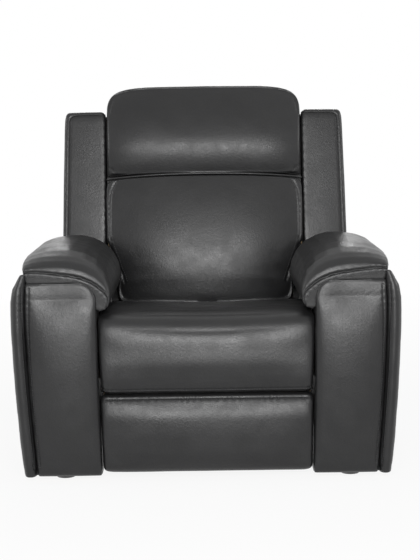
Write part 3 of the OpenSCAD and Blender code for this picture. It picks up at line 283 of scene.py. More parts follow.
def inflated(piece, held, pressure):
    """Fills a cushion as cloth and gives how far each point of its skin went out."""
    start, outward = coords(piece), normals(piece)
    group = piece.vertex_groups.new(name="held")
    for index, weight in enumerate(held):
        group.add([index], float(weight), "REPLACE")
    cloth = piece.modifiers.new("Fill", "CLOTH")
    for key, value in CLOTH.items():
        setattr(cloth.settings, key, value)
    cloth.settings.vertex_group_mass = group.name
    cloth.settings.uniform_pressure_force = pressure
    cloth.settings.effector_weights.gravity = 0
    cloth.point_cache.frame_start = 1
    cloth.point_cache.frame_end = FILL_STEPS
    for step in range(1, FILL_STEPS + 1):
        bpy.context.scene.frame_set(step)
    applied(piece)
    bpy.context.scene.frame_set(1)
    piece.vertex_groups.clear()
    out = ((coords(piece) - start) * outward).sum(axis=1)
    set_coords(piece, start)
    return out


def surface(piece):
    """The surface of a piece, for laying seams on."""
    points = [v.co.copy() for v in piece.data.vertices]
    return BVHTree.FromPolygons(points, [list(p.vertices) for p in piece.data.polygons])


SHARP = 40      # degrees between two faces, above which their edge is rounded
EDGE = 0.0015   # rounding of a leather strip's edges


def strip(name, outline, along):
    """A flat leather piece with soft edges, from its outline and its thickness."""
    count = len(outline)
    points = outline + [p + along for p in outline]
    faces = [tuple(range(count)), tuple(range(2 * count - 1, count - 1, -1))]
    faces += [(i, count + i, count + (i + 1) % count, (i + 1) % count) for i in range(count)]
    piece = made(name, points, faces)
    mesh = bmesh.new()
    mesh.from_mesh(piece.data)
    bmesh.ops.recalc_face_normals(mesh, faces=mesh.faces)
    mesh.to_mesh(piece.data)
    mesh.free()
    return softened_edges(piece, min(EDGE, along.length / 3))


def gridded(piece, pitch, axes):
    """Cuts the flat faces of a piece into a grid, so that they can be shaped."""
    mesh = bmesh.new()
    mesh.from_mesh(piece.data)
    for axis in axes:
        along = [v.co.dot(axis) for v in mesh.verts]
        low, high = min(along), max(along)
        count = int((high - low) / pitch)
        for i in range(1, count):
            place = axis * (low + (high - low) * i / count)
            bmesh.ops.bisect_plane(mesh, geom=mesh.verts[:] + mesh.edges[:] + mesh.faces[:],
                                   plane_co=place, plane_no=axis, dist=1e-5)
    mesh.to_mesh(piece.data)
    mesh.free()
    return piece


def softened_edges(piece, width):
    """Rounds the sharp edges of a piece."""
    edge = piece.modifiers.new("Edge", "BEVEL")
    edge.width = width
    edge.segments = 3
    edge.limit_method = "ANGLE"
    edge.angle_limit = math.radians(SHARP)
    return applied(piece)


# Paths and what is sewn along them

def evenly(path, pitch):
    """Points at equal steps along a path."""
    pts = np.array([tuple(p) for p in path], float)
    run = np.concatenate([[0], np.cumsum(np.linalg.norm(np.diff(pts, axis=0), axis=1))])
    count = max(2, int(round(run[-1] / pitch)) + 1)
    at = np.linspace(0, run[-1], count)
    return np.stack([np.interp(at, run, pts[:, k]) for k in range(3)], axis=1)


def curved(path, steps=8):
    """A smooth path through a few points."""
    pts = [Vector(p) for p in path]
    pts = [pts[0] * 2 - pts[1]] + pts + [pts[-1] * 2 - pts[-2]]
    out = []
    for a, b, c, d in zip(pts, pts[1:], pts[2:], pts[3:]):
        for i in range(steps):
            t = i / steps
            out.append(0.5 * (2 * b + (c - a) * t + (2 * a - 5 * b + 4 * c - d) * t * t
                              + (3 * b - a - 3 * c + d) * t * t * t))
    return out + [pts[-2]]


def laid(tree, path, direction=None, reach=0.12):
    """A path dropped on a surface, along a direction or to the nearest place, with the normals."""
    places, outward = [], []
    for p in path:
        p = Vector(p)
        hit = (None,) * 4
        if direction is not None:
            way = Vector(direction).normalized()
            hit = tree.ray_cast(p - way * reach, way, 2 * reach)
        if hit[0] is None:
            hit = tree.find_nearest(p)
        places.append(hit[0])
        outward.append(hit[1])
    return places, outward


ASIDE = (0.31, 0.17, 0.94)      # a direction in which no seam runs


def tube(points, radius, sides=8):
    """Points and faces of a round cord along a path. radius may differ from point to point."""
    pts = np.array([tuple(p) for p in points], float)
    along = np.vstack([pts[1:], pts[-1:]]) - np.vstack([pts[:1], pts[:-1]])
    along /= np.maximum(np.linalg.norm(along, axis=1, keepdims=True), 1e-9)
    side = np.cross(along[0], ASIDE)
    rings, faces = [], []
    for i, middle in enumerate(pts):
        side = side - along[i] * np.dot(side, along[i])
        side /= max(np.linalg.norm(side), 1e-9)
        up = np.cross(along[i], side)
        r = radius[i] if np.ndim(radius) else radius
        for k in range(sides):
            a = 2 * math.pi * k / sides
            rings.append(middle + r * (math.cos(a) * side + math.sin(a) * up))
    last = (len(pts) - 1) * sides
    for i in range(0, last, sides):
        for k in range(sides):
            n = (k + 1) % sides
            faces.append((i + k, i + n, i + sides + n, i + sides + k))
    faces.append(tuple(range(sides))[::-1])
    faces.append(tuple(last + k for k in range(sides)))
    return rings, faces


def gathered(several, name):
    """One piece from several lists of points and faces."""
    points, faces = [], []
    for pts, fcs in several:
        base = len(points)
        points += list(pts)
        faces += [tuple(base + i for i in f) for f in fcs]
    return made(name, points, faces)


STITCH = ((-1, -0.6, 0.7), (-0.62, 0.35, 1), (0, 0.55, 1), (0.62, 0.35, 1),
          (1, -0.6, 0.7))       # place along a stitch, its rise and its share of the thickness
WELT_STEP = 0.006


def stitches(tree, path, direction=None):
    """The tubes of a row of stitches on a surface."""
    sew = setting("recliner_cushions")
    row = evenly(path, sew.stitch_pitch)
    places, outward = laid(tree, row, direction)
    out = []
    for i in range(len(places) - 1):
        run = places[i + 1] - places[i]
        if run.length < 1e-5 or run.length > 3 * sew.stitch_pitch:
            continue
        run.normalize()
        half = run * sew.stitch / 2
        middle = (places[i] + places[i + 1]) / 2
        up = (outward[i] + outward[i + 1]).normalized()
        pts = [middle + half * t + up * h * sew.thread_d for t, h, _ in STITCH]
        out.append(tube(pts, [sew.thread_d / 2 * share for _, _, share in STITCH], 6))
    return out


def piping(tree, path, direction=None, sink=0.25, diameter=None):
    """The tube of a welt laid in a seam, sunk by a share of its diameter."""
    d = diameter or setting("recliner_cushions").piping_d
    places, outward = laid(tree, evenly(path, WELT_STEP), direction)
    pts = [p + n * d * (0.5 - sink) for p, n in zip(places, outward)]
    smooth = pts[:1] + [(a + b * 2 + c) / 4 for a, b, c in zip(pts, pts[1:], pts[2:])] + pts[-1:]
    return tube(smooth, d / 2)


SEAM_STEP = 0.002
PUCKER = 0.019      # mean length of one pucker beside a seam


def grooved(piece, path, width=None, depth=None, gather=None, reach=0.035):
    """Draws the skin in along a seam and puckers it lightly beside the seam."""
    sew = setting("recliner_cushions")
    width = sew.seam_w if width is None else width
    depth = sew.seam_depth if depth is None else depth
    gather = sew.gather if gather is None else gather
    places, _ = laid(surface(piece), evenly(path, SEAM_STEP))
    tree = KDTree(len(places))
    for i, p in enumerate(places):
        tree.insert(p, i)
    tree.balance()
    co = coords(piece)
    amount = np.zeros(len(co))
    for i, c in enumerate(co):
        _, index, d = tree.find(c)
        if d > reach:
            continue
        amount[i] -= depth * math.exp(-(d / width) ** 2)
        if gather:
            run = index * SEAM_STEP
            wave = math.sin(run * 2 * math.pi / PUCKER + 2.2 * math.sin(run * 31)) \
                * (0.6 + 0.4 * math.sin(run * 57 + 1.3))
            amount[i] += gather * wave * (d / width) * math.exp(1 - d / width - (d / reach) ** 2)
    shifted(piece, amount)


def uneven(piece, height, size, seed=0.0):
    """Leather never lies quite flat: slow waves over the whole piece."""
    co = coords(piece)
    shift = Vector((seed, seed * 0.7, -seed))
    amount = [height * noise.noise(Vector(c) / size + shift) for c in co]
    shifted(piece, amount)


# Materials

def shader(name, **values):
    """A new material with its values set on the shader's own sockets."""
    mat = bpy.data.materials.new(name)
    mat.use_nodes = True
    nodes = mat.node_tree.nodes
    base = nodes["Principled BSDF"]
    for key, value in values.items():
        socket = base.inputs[key.replace("_", " ")]
        if hasattr(socket.default_value, "__len__") and len(value) == 3:
            value = (*value, 1)
        socket.default_value = value
    return mat, mat.node_tree, base


def node(tree, kind, **inputs):
    """A new node with the values of some of its sockets."""
    made_node = tree.nodes.new(kind)
    for key, value in inputs.items():
        made_node.inputs[key.replace("_", " ")].default_value = value
    return made_node


def ramp(tree, factor, stops):
    """A colour ramp on a factor; a stop is (place, colour or grey)."""
    made_node = tree.nodes.new("ShaderNodeValToRGB")
    bar = made_node.color_ramp
    for i, (place, colour) in enumerate(stops):
        stop = bar.elements[i] if i < 2 else bar.elements.new(place)
        stop.position = place
        rgb = tuple(colour) if hasattr(colour, "__len__") else (colour,) * 3
        stop.color = (*rgb, 1)
    tree.links.new(factor, made_node.inputs["Fac"])
    return made_node.outputs["Color"]


def blended(tree, factor, a, b, mode="MIX"):
    """Two colours mixed by a factor; each may be a socket or a plain value."""
    mix = tree.nodes.new("ShaderNodeMix")
    mix.data_type = "RGBA"
    mix.blend_type = mode
    for socket, value in ((mix.inputs["Factor"], factor), (mix.inputs["A"], a),
                          (mix.inputs["B"], b)):
        if isinstance(value, bpy.types.NodeSocket):
            tree.links.new(value, socket)
        elif hasattr(value, "__len__"):
            socket.default_value = (*value, 1)
        else:
            socket.default_value = value
    return mix.outputs[2]


def bumped(tree, base, heights):
    """Chains bumps into the shader's normal; a height is (socket, strength, distance)."""
    last = None
    for height, strength, distance in heights:
        bump = node(tree, "ShaderNodeBump", Strength=strength, Distance=distance)
        tree.links.new(height, bump.inputs["Height"])
        if last is not None:
            tree.links.new(last, bump.inputs["Normal"])
        last = bump.outputs["Normal"]
    tree.links.new(last, base.inputs["Normal"])


def textured(tree, kind, scale, output, **inputs):
    """A texture in the piece's own metres."""
    place = tree.nodes.get("Place") or tree.nodes.new("ShaderNodeTexCoord")
    place.name = "Place"
    made_node = node(tree, kind, Scale=scale, **inputs)
    tree.links.new(place.outputs["Object"], made_node.inputs["Vector"])
    return made_node.outputs[output]


def leather(name, tone=1.0):
    """Corrected-grain hide: pebbles, fine pores, slow patches and rubbed edges."""
    look = setting("recliner_leather")
    mat, tree, base = shader(name, Roughness=look.roughness, Specular_IOR_Level=0.4)
    hide, dark, worn = (tuple(tone * c for c in v)
                        for v in (look.hide, look.hide_dark, look.hide_worn))
    patch = textured(tree, "ShaderNodeTexNoise", 7, "Fac", Detail=4, Roughness=0.6)
    cloud = ramp(tree, patch, ((0.35, dark), (0.65, hide)))
    pebble = textured(tree, "ShaderNodeTexVoronoi", 1 / look.pebble, "Distance",
                      Randomness=0.9)
    pores = textured(tree, "ShaderNodeTexNoise", 2.2 / look.pebble, "Fac", Detail=3)
    speck = ramp(tree, pebble, ((0.3, (1, 1, 1)), (0.75, (0.7, 0.7, 0.7))))
    skin = blended(tree, 1.0, cloud, speck, "MULTIPLY")
    shape = tree.nodes.new("ShaderNodeNewGeometry")
    rubbed = ramp(tree, shape.outputs["Pointiness"], ((0.515, 0.0), (0.6, 0.75)))
    scuff = textured(tree, "ShaderNodeTexNoise", 60, "Fac", Detail=6, Roughness=0.7)
    scuffed = blended(tree, 1.0, rubbed, ramp(tree, scuff, ((0.4, 0.0), (0.62, 1.0))),
                      "MULTIPLY")
    tree.links.new(blended(tree, scuffed, skin, worn), base.inputs["Base Color"])
    gloss = textured(tree, "ShaderNodeTexNoise", 19, "Fac", Detail=5, Roughness=0.65)
    low, high = look.roughness - 0.05, look.roughness + 0.07
    tree.links.new(ramp(tree, gloss, ((0.35, low), (0.68, high))), base.inputs["Roughness"])
    creases = textured(tree, "ShaderNodeTexNoise", 150, "Fac", Detail=5, Roughness=0.6,
                       Distortion=0.4)
    bumped(tree, base, ((pebble, 0.5, 0.0003), (pores, 0.2, 0.0001),
                        (creases, 0.45, 0.0009)))
    return mat


def thread_finish():
    """Bonded thread with its twist."""
    look = setting("recliner_leather")
    mat, tree, base = shader("sewing_thread", Base_Color=look.thread, Roughness=0.55)
    twist = textured(tree, "ShaderNodeTexWave", 420, "Fac", Distortion=1.5)
    tone = ramp(tree, twist, ((0.2, [c * 0.7 for c in look.thread]), (0.8, look.thread)))
    tree.links.new(tone, base.inputs["Base Color"])
    bumped(tree, base, ((twist, 0.4, 0.0002),))
    return mat


def timber_finish():
    """Plain hardwood and plywood with grain and fibre."""
    mat, tree, base = shader("frame_timber", Roughness=0.7)
    grain = textured(tree, "ShaderNodeTexNoise", 9, "Fac", Detail=7, Distortion=1.8)
    fibre = textured(tree, "ShaderNodeTexWave", 22, "Fac", Distortion=9, Detail=3)
    tone = blended(tree, fibre, ramp(tree, grain, ((0.3, (0.50, 0.34, 0.19)),
                                                   (0.7, (0.62, 0.46, 0.28)))),
                   (0.55, 0.39, 0.22))
    tree.links.new(tone, base.inputs["Base Color"])
    bumped(tree, base, ((grain, 0.3, 0.0006), (fibre, 0.15, 0.0003)))
    return mat


def metal_finish(name, colour, metallic, rough, speck):
    """Powder coat or zinc plate with a fine texture and slight soiling."""
    mat, tree, base = shader(name, Metallic=metallic, Roughness=rough)
    soil = textured(tree, "ShaderNodeTexNoise", 26, "Fac", Detail=6, Roughness=0.6)
    shade = [c * 0.72 for c in colour]
    tree.links.new(ramp(tree, soil, ((0.3, shade), (0.62, colour))), base.inputs["Base Color"])
    tree.links.new(ramp(tree, soil, ((0.3, rough + 0.12), (0.65, rough))),
                   base.inputs["Roughness"])
    peel = textured(tree, "ShaderNodeTexNoise", speck, "Fac", Detail=2)
    bumped(tree, base, ((peel, 0.2, 0.00012),))
    return mat


def plastic_finish(name, colour, rough):
    """Moulded plastic with a spark-eroded texture."""
    mat, tree, base = shader(name, Roughness=rough)
    haze = textured(tree, "ShaderNodeTexNoise", 35, "Fac", Detail=4)
    shade = [c * 0.8 for c in colour]
    tree.links.new(ramp(tree, haze, ((0.35, shade), (0.65, colour))), base.inputs["Base Color"])
    fleck = textured(tree, "ShaderNodeTexVoronoi", 1600, "Distance")
    bumped(tree, base, ((fleck, 0.18, 0.0001),))
    return mat


MAKERS = {
    "leather": lambda: leather("cushion_hide"),
    "leather_cover": lambda: leather("cover_hide", tone=0.95),
    "thread": thread_finish,
    "timber": timber_finish,
    "black_steel": lambda: metal_finish("powder_coat", (0.028, 0.028, 0.03), metallic=0.0,
                                        rough=0.42, speck=900),
    "zinc_steel": lambda: metal_finish("zinc_plate", (0.56, 0.57, 0.59), metallic=1.0,
                                       rough=0.34, speck=300),
    "black_plastic": lambda: plastic_finish("housing_plastic", (0.022, 0.022, 0.024), rough=0.5),
    "rocker_plastic": lambda: plastic_finish("rocker_caps", (0.24, 0.24, 0.25), rough=0.35),
}
FINISHES = {}


def finish_of(name):
    """The finish of that name, made on first use."""
    if name not in FINISHES:
        FINISHES[name] = MAKERS[name]()
    return FINISHES[name]


def dressed(piece, finish, body, slot, *replaced, fill=None):
    """Gives a piece its material and its body, and hides the CAD parts that it stands for."""
    piece.data.materials.clear()
    piece.data.materials.append(finish_of(finish))
    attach(piece, body)
    if replaced:
        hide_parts(*replaced)
    return piece


def paired(body, *parts):
    """Dresses pieces of the left side and mirrors them to the right.

    A part is (piece, finish, slot), and where it stands for CAD nodes also their name without
    the side, and how full it is.
    """
    for side, k in SIDES:
        pieces = [p[0] if k < 0 else mirrored(p[0], p[0].name.replace("left", "right"))
                  for p in parts]
        for piece, (_, finish, slot, *stands) in zip(pieces, parts):
            if stands:
                dressed(piece, finish, body, slot, stands[0] + side, fill=stands[1])
            else:
                dressed(piece, finish, body, slot)


def backing(name, outline, along, body):
    """A strip of cover leather that closes a seam from behind."""
    return dressed(strip(name, outline, along), "leather_cover", body, "leather_cover")


def sewn(name, rows, body):
    """One piece of thread from rows of stitches."""
    tubes = [t for row in rows for t in row]
    return dressed(gathered(tubes, name), "thread", body, "leather")


def swollen(piece, held, swell=None):
    """Fills a cushion. Its broad swell and its wrinkles are each kept within bounds."""
    fill = setting("recliner_cushions")
    swell = fill.swell if swell is None else swell
    free = 1 - np.asarray(held, float)
    out = inflated(piece, held, fill.pressure)
    broad = evened(piece, out, 40)
    fine = evened(piece, out, 6) - broad
    amount = swell * np.tanh(np.maximum(broad, 0) / swell) + fill.wrinkle * fine
    shifted(piece, np.maximum(amount, -0.001) * evened(piece, free, 6))


# Places on the backrest: across, ahead of the hinge plane, and up along the backrest
LEAN = math.radians(11)


def on_back(x, t, s):
    """A point from x across, t to the rear and s up along the leaning backrest."""
    return Vector((x, HINGE.y + t * math.cos(LEAN) + s * math.sin(LEAN),
                   HINGE.z - t * math.sin(LEAN) + s * math.cos(LEAN)))


BACK_AHEAD = on_back(0, -1, 0) - on_back(0, 0, 0)
UP_BACK = on_back(0, 0, 1) - on_back(0, 0, 0)


def along_back(co):
    """The (t, s) of world points on the leaning backrest."""
    y, z = co[:, 1] - HINGE.y, co[:, 2] - HINGE.z
    return y * math.cos(LEAN) - z * math.sin(LEAN), y * math.sin(LEAN) + z * math.cos(LEAN)


# Shaping

def ease(values, low, high):
    """0 below low and 1 above high, with a smooth rise between."""
    w = np.clip((values - low) / (high - low), 0, 1)
    return w * w * (3 - 2 * w)


def between_arms(co, gap):
    """Widens a cushion's sides to the inner faces of the arms, less a gap."""
    foot, head = (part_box(n + "_left") for n in ("arm_front_panel", "arm_inner_panel"))
    rise = (co[:, 2] - foot[0].z) / (head[0].z - foot[0].z)
    wall = -foot[1].x + (foot[1].x - head[1].x) * rise - gap
    reach = np.abs(co[:, 0]).max()
    share = ease(np.abs(co[:, 0]), reach - 0.05, reach - 0.006)
    co[:, 0] += np.sign(co[:, 0]) * share * (wall - reach)


# The pieces, in the order in which they are sewn

SEAT_FRONT = ((0.0048, 0.362, 0.036), (-0.0030, 0.268, 0.030))   # set back, height, half height
SEAT_ROLL = ((-0.40, -0.34), (0.35, 0.39))      # rear and lower end of its rounded front edge
# How the fold across the seat is drawn in, and how far in from the ends the hems stay
SEAT_FOLD = {"width": 0.030, "depth": 0.0008, "gather": 0.0, "reach": 0.08}
HEM_GAP = 0.010
FORWARD = (0, 1, 0)


def make_seat():
    """Seat cushion with its rolled front and the row of stitches over the footrest."""
    low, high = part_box("seat_cushion")
    seat = remeshed("seat_cushion", "seat_upholstery", "seat")
    co, no = coords(seat), normals(seat)
    back = sum(set_back * np.exp(-((co[:, 2] - height) / tall) ** 2)
               for set_back, height, tall in SEAT_FRONT)
    co[:, 1] += back * np.clip(-no[:, 1], 0, 1) * (1 - ease(co[:, 1], -0.44, -0.40))
    between_arms(co, gap=0.0010)
    nose = (1 - ease(co[:, 1], *SEAT_ROLL[0])) * ease(co[:, 2], *SEAT_ROLL[1])
    for axis in (1, 2):
        co[:, axis] += nose * (evened(seat, co[:, axis], 30) - co[:, axis])
    set_coords(seat, co)
    inside = (co[:, 1] > low.y + 0.034) & (co[:, 2] < 0.325)
    held = np.maximum(ease(np.abs(no[:, 0]), 0.4, 0.8),
                      np.where((no[:, 2] < -0.35) | inside | (no[:, 1] > 0.6), 1.0, 0.0))
    rear = ease(co[:, 1], -0.12, 0.05)
    beside = ease(np.abs(co[:, 0]), 0.20, 0.28) * (co[:, 2] > 0.40)
    swollen(seat, np.maximum(held, 0.8 * np.maximum(rear, beside)))
    refined(seat)
    half = high.x - HEM_GAP
    fold = [(x, low.y + 0.093 + 0.26 * (x / half) ** 2, high.z)
            for x in np.linspace(-half, half, 31)]
    grooved(seat, fold, **SEAT_FOLD)
    hem = [(x, low.y + 0.003, low.z + HEM_GAP) for x in np.linspace(-half, half, 25)]
    grooved(seat, hem, width=0.003, depth=0.0014, gather=0.0005)
    uneven(seat, height=0.0013, size=0.15, seed=1.0)
    dressed(seat, "leather", "base", "leather", "seat_cushion", fill=0.8)
    row = [(x, low.y, low.z + HEM_GAP) for x in np.linspace(-half - 0.002, half + 0.002, 25)]
    sewn("seat_hem_stitching", [stitches(surface(seat), row, FORWARD)], "base")


TOP_ROLL = 0.010            # how far the footrest pad's top edge turns to the rear
TOP_ROLL_FROM = 0.165       # height at which that begins
TOP_ROLL_OVER = 0.07        # height over which it happens
TOP_RISE = 0.0025           # how much its top is fuller than the solid


def make_footrest():
    """Footrest pad with a stitched top edge."""
    low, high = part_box("footrest_pad")
    rest = remeshed("footrest_pad", "footrest_upholstery", "footrest")
    co, no = coords(rest), normals(rest)
    between_arms(co, gap=0.0012)
    turn = np.clip((co[:, 2] - TOP_ROLL_FROM) / TOP_ROLL_OVER, 0, 1) ** 2
    co[:, 1] += TOP_ROLL * turn * np.clip(-no[:, 1], 0, 1)
    co[:, 2] += TOP_RISE * ease(co[:, 2], high.z - 0.03, high.z - 0.005)
    set_coords(rest, co)
    held = np.maximum(ease(np.abs(no[:, 0]), 0.4, 0.8), np.where(no[:, 1] > 0.3, 1.0, 0.0))
    held = np.maximum(held, 0.9 * ease(no[:, 2], 0.7, 0.95))
    swollen(rest, held)
    refined(rest)
    half = high.x - HEM_GAP
    hem = [(x, low.y + HEM_GAP, high.z - 0.006) for x in np.linspace(-half, half, 25)]
    grooved(rest, hem, width=0.003, depth=0.0016, gather=0.0008)
    uneven(rest, height=0.0010, size=0.13, seed=2.0)
    dressed(rest, "leather", "footrest", "leather", "footrest_pad", fill=0.8)
    row = [(x, low.y, high.z - 0.014) for x in np.linspace(-half - 0.002, half + 0.002, 25)]
    sewn("footrest_stitching", [stitches(surface(rest), row, FORWARD)], "footrest")


SEAM_S = 0.490       # height of the seam under the headrest, along the backrest
SEAM_RISE = 0.010    # how much higher that seam runs in its middle
HEAD_TOP = 0.778     # top of the headrest
FOOT_DROP = 0.013    # how far the lower cushion's foot goes down behind the seat
SIDE_SEAM = 0.011    # from a cushion's side to the seam in its front
LOWER_GUSSET = ((0.200, 0.070), (0.290, 0.070), (0.2922, 0.164), (0.2922, 0.245),
                (0.2985, 0.262), (0.2985, 0.360), (0.200, 0.360))      # x and s of its corners
SEAM_GUSSET = ((-0.2985, 0.452), (0.2985, 0.452), (0.2985, 0.530), (-0.2985, 0.530))


def half_widths(co, s):
    """A function that gives the half width of a back cushion at a height."""
    rows = np.arange(s.min() + 0.005, s.max(), 0.01)
    wide = [np.abs(co[np.abs(s - row) < 0.008][:, 0]).max() for row in rows]
    wide = np.convolve(np.pad(wide, 1, mode="edge"), np.ones(3) / 3, mode="valid")
    return lambda height: np.interp(height, rows, wide)


def back_cushion(node_name, name, wall, form, top):
    """A filled backrest cushion with a drawn front, whose deep sides reach a wall."""
    cushion = remeshed(node_name, name, "back")
    co, no = coords(cushion), normals(cushion)
    t, s = along_back(co)
    ahead = no @ np.array(BACK_AHEAD)
    half = half_widths(co, s)
    share = np.clip(np.abs(co[:, 0]) / half(s), 0, 1)
    move = evened(cushion, ease(ahead, 0.05, 0.5), 6) * (stands_ahead(form, share, s) + t)
    co += np.outer(move, BACK_AHEAD)
    full = half(SEAM_S + math.copysign(0.07, s.mean() - SEAM_S))
    square = 1 - ease(np.abs(s - SEAM_S), 0.035, 0.07)
    co[:, 0] *= 1 + square * (np.clip(full / half(s), 1, 1.12) - 1)
    if s.min() < 0.2:
        foot = 1 - ease(s, 0.17, 0.21)
        co[:, 0] *= 1 + foot * (np.clip(half(0.21) / half(s), 1, 1.3) - 1)
        co -= np.outer(FOOT_DROP * (1 - ease(s, 0.115, 0.165)), UP_BACK)
    set_coords(cushion, co)
    swollen(cushion, np.where((ahead < -0.2) | (t > -0.06), 1.0, 1 - ease(ahead, 0.15, 0.7)))
    co = coords(cushion)
    t, s = along_back(co)
    deep = ease(t, -0.14, -0.10) * ease(np.abs(co[:, 0]), wall - 0.05, wall - 0.03) \
        * ease(s, 0.28, 0.33) * (1 - ease(s, top - 0.09, top - 0.04))
    co[:, 0] += np.sign(co[:, 0]) * deep * np.maximum(wall - np.abs(co[:, 0]), 0)
    arch = SEAM_RISE * (1 - (co[:, 0] / wall) ** 2) * (1 - ease(np.abs(s - SEAM_S), 0, 0.14))
    co += np.outer(arch, UP_BACK)
    set_coords(cushion, co)
    return refined(cushion), half


def rolled(s, edge, radius, depth):
    """How far a front turns in towards a seam at a height, over a radius."""
    q = np.clip(1 - np.abs(s - edge) / radius, 0, 1)
    return depth * (1 - np.sqrt(1 - q * q))


# Where and how far the two back cushions stand ahead, and how steeply they go back from there
Front = namedtuple("Front", "height stands foot foot_drop foot_curve head head_drop head_curve "
                            "head_most side_drop side_ease side_curve roll roll_depth")
LUMBAR = Front(height=0.240, stands=0.184, foot=0.130, foot_drop=0.030, foot_curve=2.4,
               head=0.250, head_drop=0.034, head_curve=2, head_most=1, side_drop=0.044,
               side_ease=0.014, side_curve=2.8, roll=0.012, roll_depth=0.006)
HEADREST = Front(height=0.594, stands=0.166, foot=0.104, foot_drop=0.026, foot_curve=2,
                 head=0.170, head_drop=0.046, head_curve=1.9, head_most=1.1, side_drop=0.024,
                 side_ease=0, side_curve=5, roll=0.010, roll_depth=0.005)


def stands_ahead(form, share, s):
    """How far a back cushion stands ahead at a share of its half width and at a height.

    It stands ahead most at form.height, and goes back to its foot, its head and its sides.
    """
    low = np.clip((form.height - s) / form.foot, 0, 1)
    high = np.clip((s - form.height) / form.head, 0, form.head_most)
    crown = form.stands - form.foot_drop * low ** form.foot_curve \
        - form.head_drop * high ** form.head_curve
    return crown - (form.side_drop - form.side_ease * high) * share ** form.side_curve \
        - rolled(s, SEAM_S, form.roll, form.roll_depth)


def side_seams(half, low, high, depth):
    """The seams just inside the two sides of a back cushion."""
    heights = np.linspace(low, high, 22)
    return [[on_back(k * (half(s) - SIDE_SEAM), -depth, s) for s in heights] for k in (-1, 1)]


def across_back(reach, depth, s):
    """A line across the back along the seam under the headrest, which rises in its middle."""
    return [on_back(x, -depth, s + SEAM_RISE * (1 - (x / 0.3) ** 2))
            for x in np.linspace(-reach, reach, 31)]


def beside(lines, inward):
    """The same lines, moved towards the middle of the seat."""
    return [[p - Vector((math.copysign(inward, p.x), 0, 0)) for p in line] for line in lines]


def make_lumbar():
    """Lower back cushion with a seam down each side and stitches under the headrest."""
    cushion, half = back_cushion("lumbar_cushion", "lower_back_upholstery", wall=0.300,
                                 form=LUMBAR, top=SEAM_S + 0.2)
    sides = side_seams(half, low=0.17, high=SEAM_S - 0.006, depth=0.14)
    for side in sides:
        grooved(cushion, side, width=0.0045, depth=0.0024)
    uneven(cushion, height=0.0014, size=0.17, seed=3.0)
    dressed(cushion, "leather", "back", "leather", "lumbar_cushion", fill=0.8)
    tree, ahead = surface(cushion), -BACK_AHEAD
    row = across_back(reach=0.290, depth=0.13, s=SEAM_S - 0.010)
    sewn("lower_back_stitching", [stitches(tree, row, ahead)]
         + [stitches(tree, side, ahead) for side in beside(sides, inward=0.007)], "back")
    welt = [on_back(x, -stands_ahead(LUMBAR, abs(x) / 0.3, SEAM_S), SEAM_S + SEAM_RISE
                    * (1 - (x / 0.3) ** 2)) for x in np.linspace(-0.296, 0.296, 61)]
    ends = [[on_back(k * 0.2965, -d, SEAM_S) for d in (0.09, 0.10, 0.11)] for k in (-1, 1)]
    path = curved(ends[0] + welt[1:-1:4] + ends[1][::-1])
    dressed(gathered([tube(evenly(path, WELT_STEP), radius=0.0036, sides=10)], "back_seam_welt"),
            "leather", "back", "leather")
    backing("back_seam_gusset", [on_back(x, -0.100, s) for x, s in SEAM_GUSSET],
            -0.006 * BACK_AHEAD, "back")
    for side, k in SIDES:
        backing("lower_back_gusset_" + side,
                [on_back(k * x, -0.047, s) for x, s in LOWER_GUSSET], -0.005 * BACK_AHEAD, "back")


def make_headrest():
    """Headrest with a seam down each side."""
    cushion, half = back_cushion("headrest_cushion", "headrest_upholstery", wall=0.299,
                                 form=HEADREST, top=HEAD_TOP)
    sides = side_seams(half, low=SEAM_S + 0.008, high=HEAD_TOP - 0.045, depth=0.12)
    for side in sides:
        grooved(cushion, side, width=0.0045, depth=0.0020)
    uneven(cushion, height=0.0014, size=0.16, seed=4.0)
    dressed(cushion, "leather", "back", "leather", "headrest_cushion", fill=0.8)
    row = across_back(reach=0.290, depth=0.12, s=SEAM_S + 0.008)
    sewn("headrest_stitching", [stitches(surface(cushion), row, -BACK_AHEAD)], "back")


WING_TURN, WING_RISE = 0.010, 0.009     # how far the wings' faces turn in and their tops rise
WING_DRAW = 0.009                       # how far their seam leans inward


def make_wings():
    """Wings beside the headrest, each with a welt inside its outer edge."""
    low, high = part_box("wing_left")
    left = remeshed("wing_left", "wing_upholstery_left", "wing")
    co = coords(left)
    turn = WING_TURN * np.clip((high.x - co[:, 0]) / (high.x - low.x), 0, 1) ** 1.5
    turn *= 1 - ease(along_back(co)[0], -0.09, -0.06)
    rise = WING_RISE * ease(along_back(co)[1], 0.50, 0.68)
    set_coords(left, co - np.outer(turn, BACK_AHEAD) + np.outer(rise, UP_BACK))
    refined(left)
    s = along_back(coords(left))[1]
    top, bottom = s.max(), s.min()
    edge = [on_back(low.x + 0.013 + WING_DRAW * w, -0.1,
                    bottom + 0.01 + w * (top - bottom - 0.04)) for w in np.linspace(0, 1, 18)]
    edge += [on_back(low.x + WING_DRAW + x, -0.1, top - z)
             for x, z in ((0.016, 0.020), (0.026, 0.013))]
    edge += [on_back(x, -0.1, top - 0.012) for x in np.linspace(low.x + 0.05, high.x - 0.004, 8)]
    grooved(left, edge, width=0.004, depth=0.002, gather=0.0002)
    uneven(left, height=0.0010, size=0.13, seed=5.0)
    inner = [p + Vector((0.008, 0, 0)) for p in edge[:18]]
    tree = surface(left)
    thread = gathered(stitches(tree, inner, -BACK_AHEAD), "wing_stitching_left")
    welt = gathered([piping(tree, edge, -BACK_AHEAD, sink=0.35, diameter=0.0034)], "wing_welt_left")
    paired("back", (left, "leather", "leather", "wing_", 0.7), (thread, "thread", "leather"),
           (welt, "leather", "leather"))


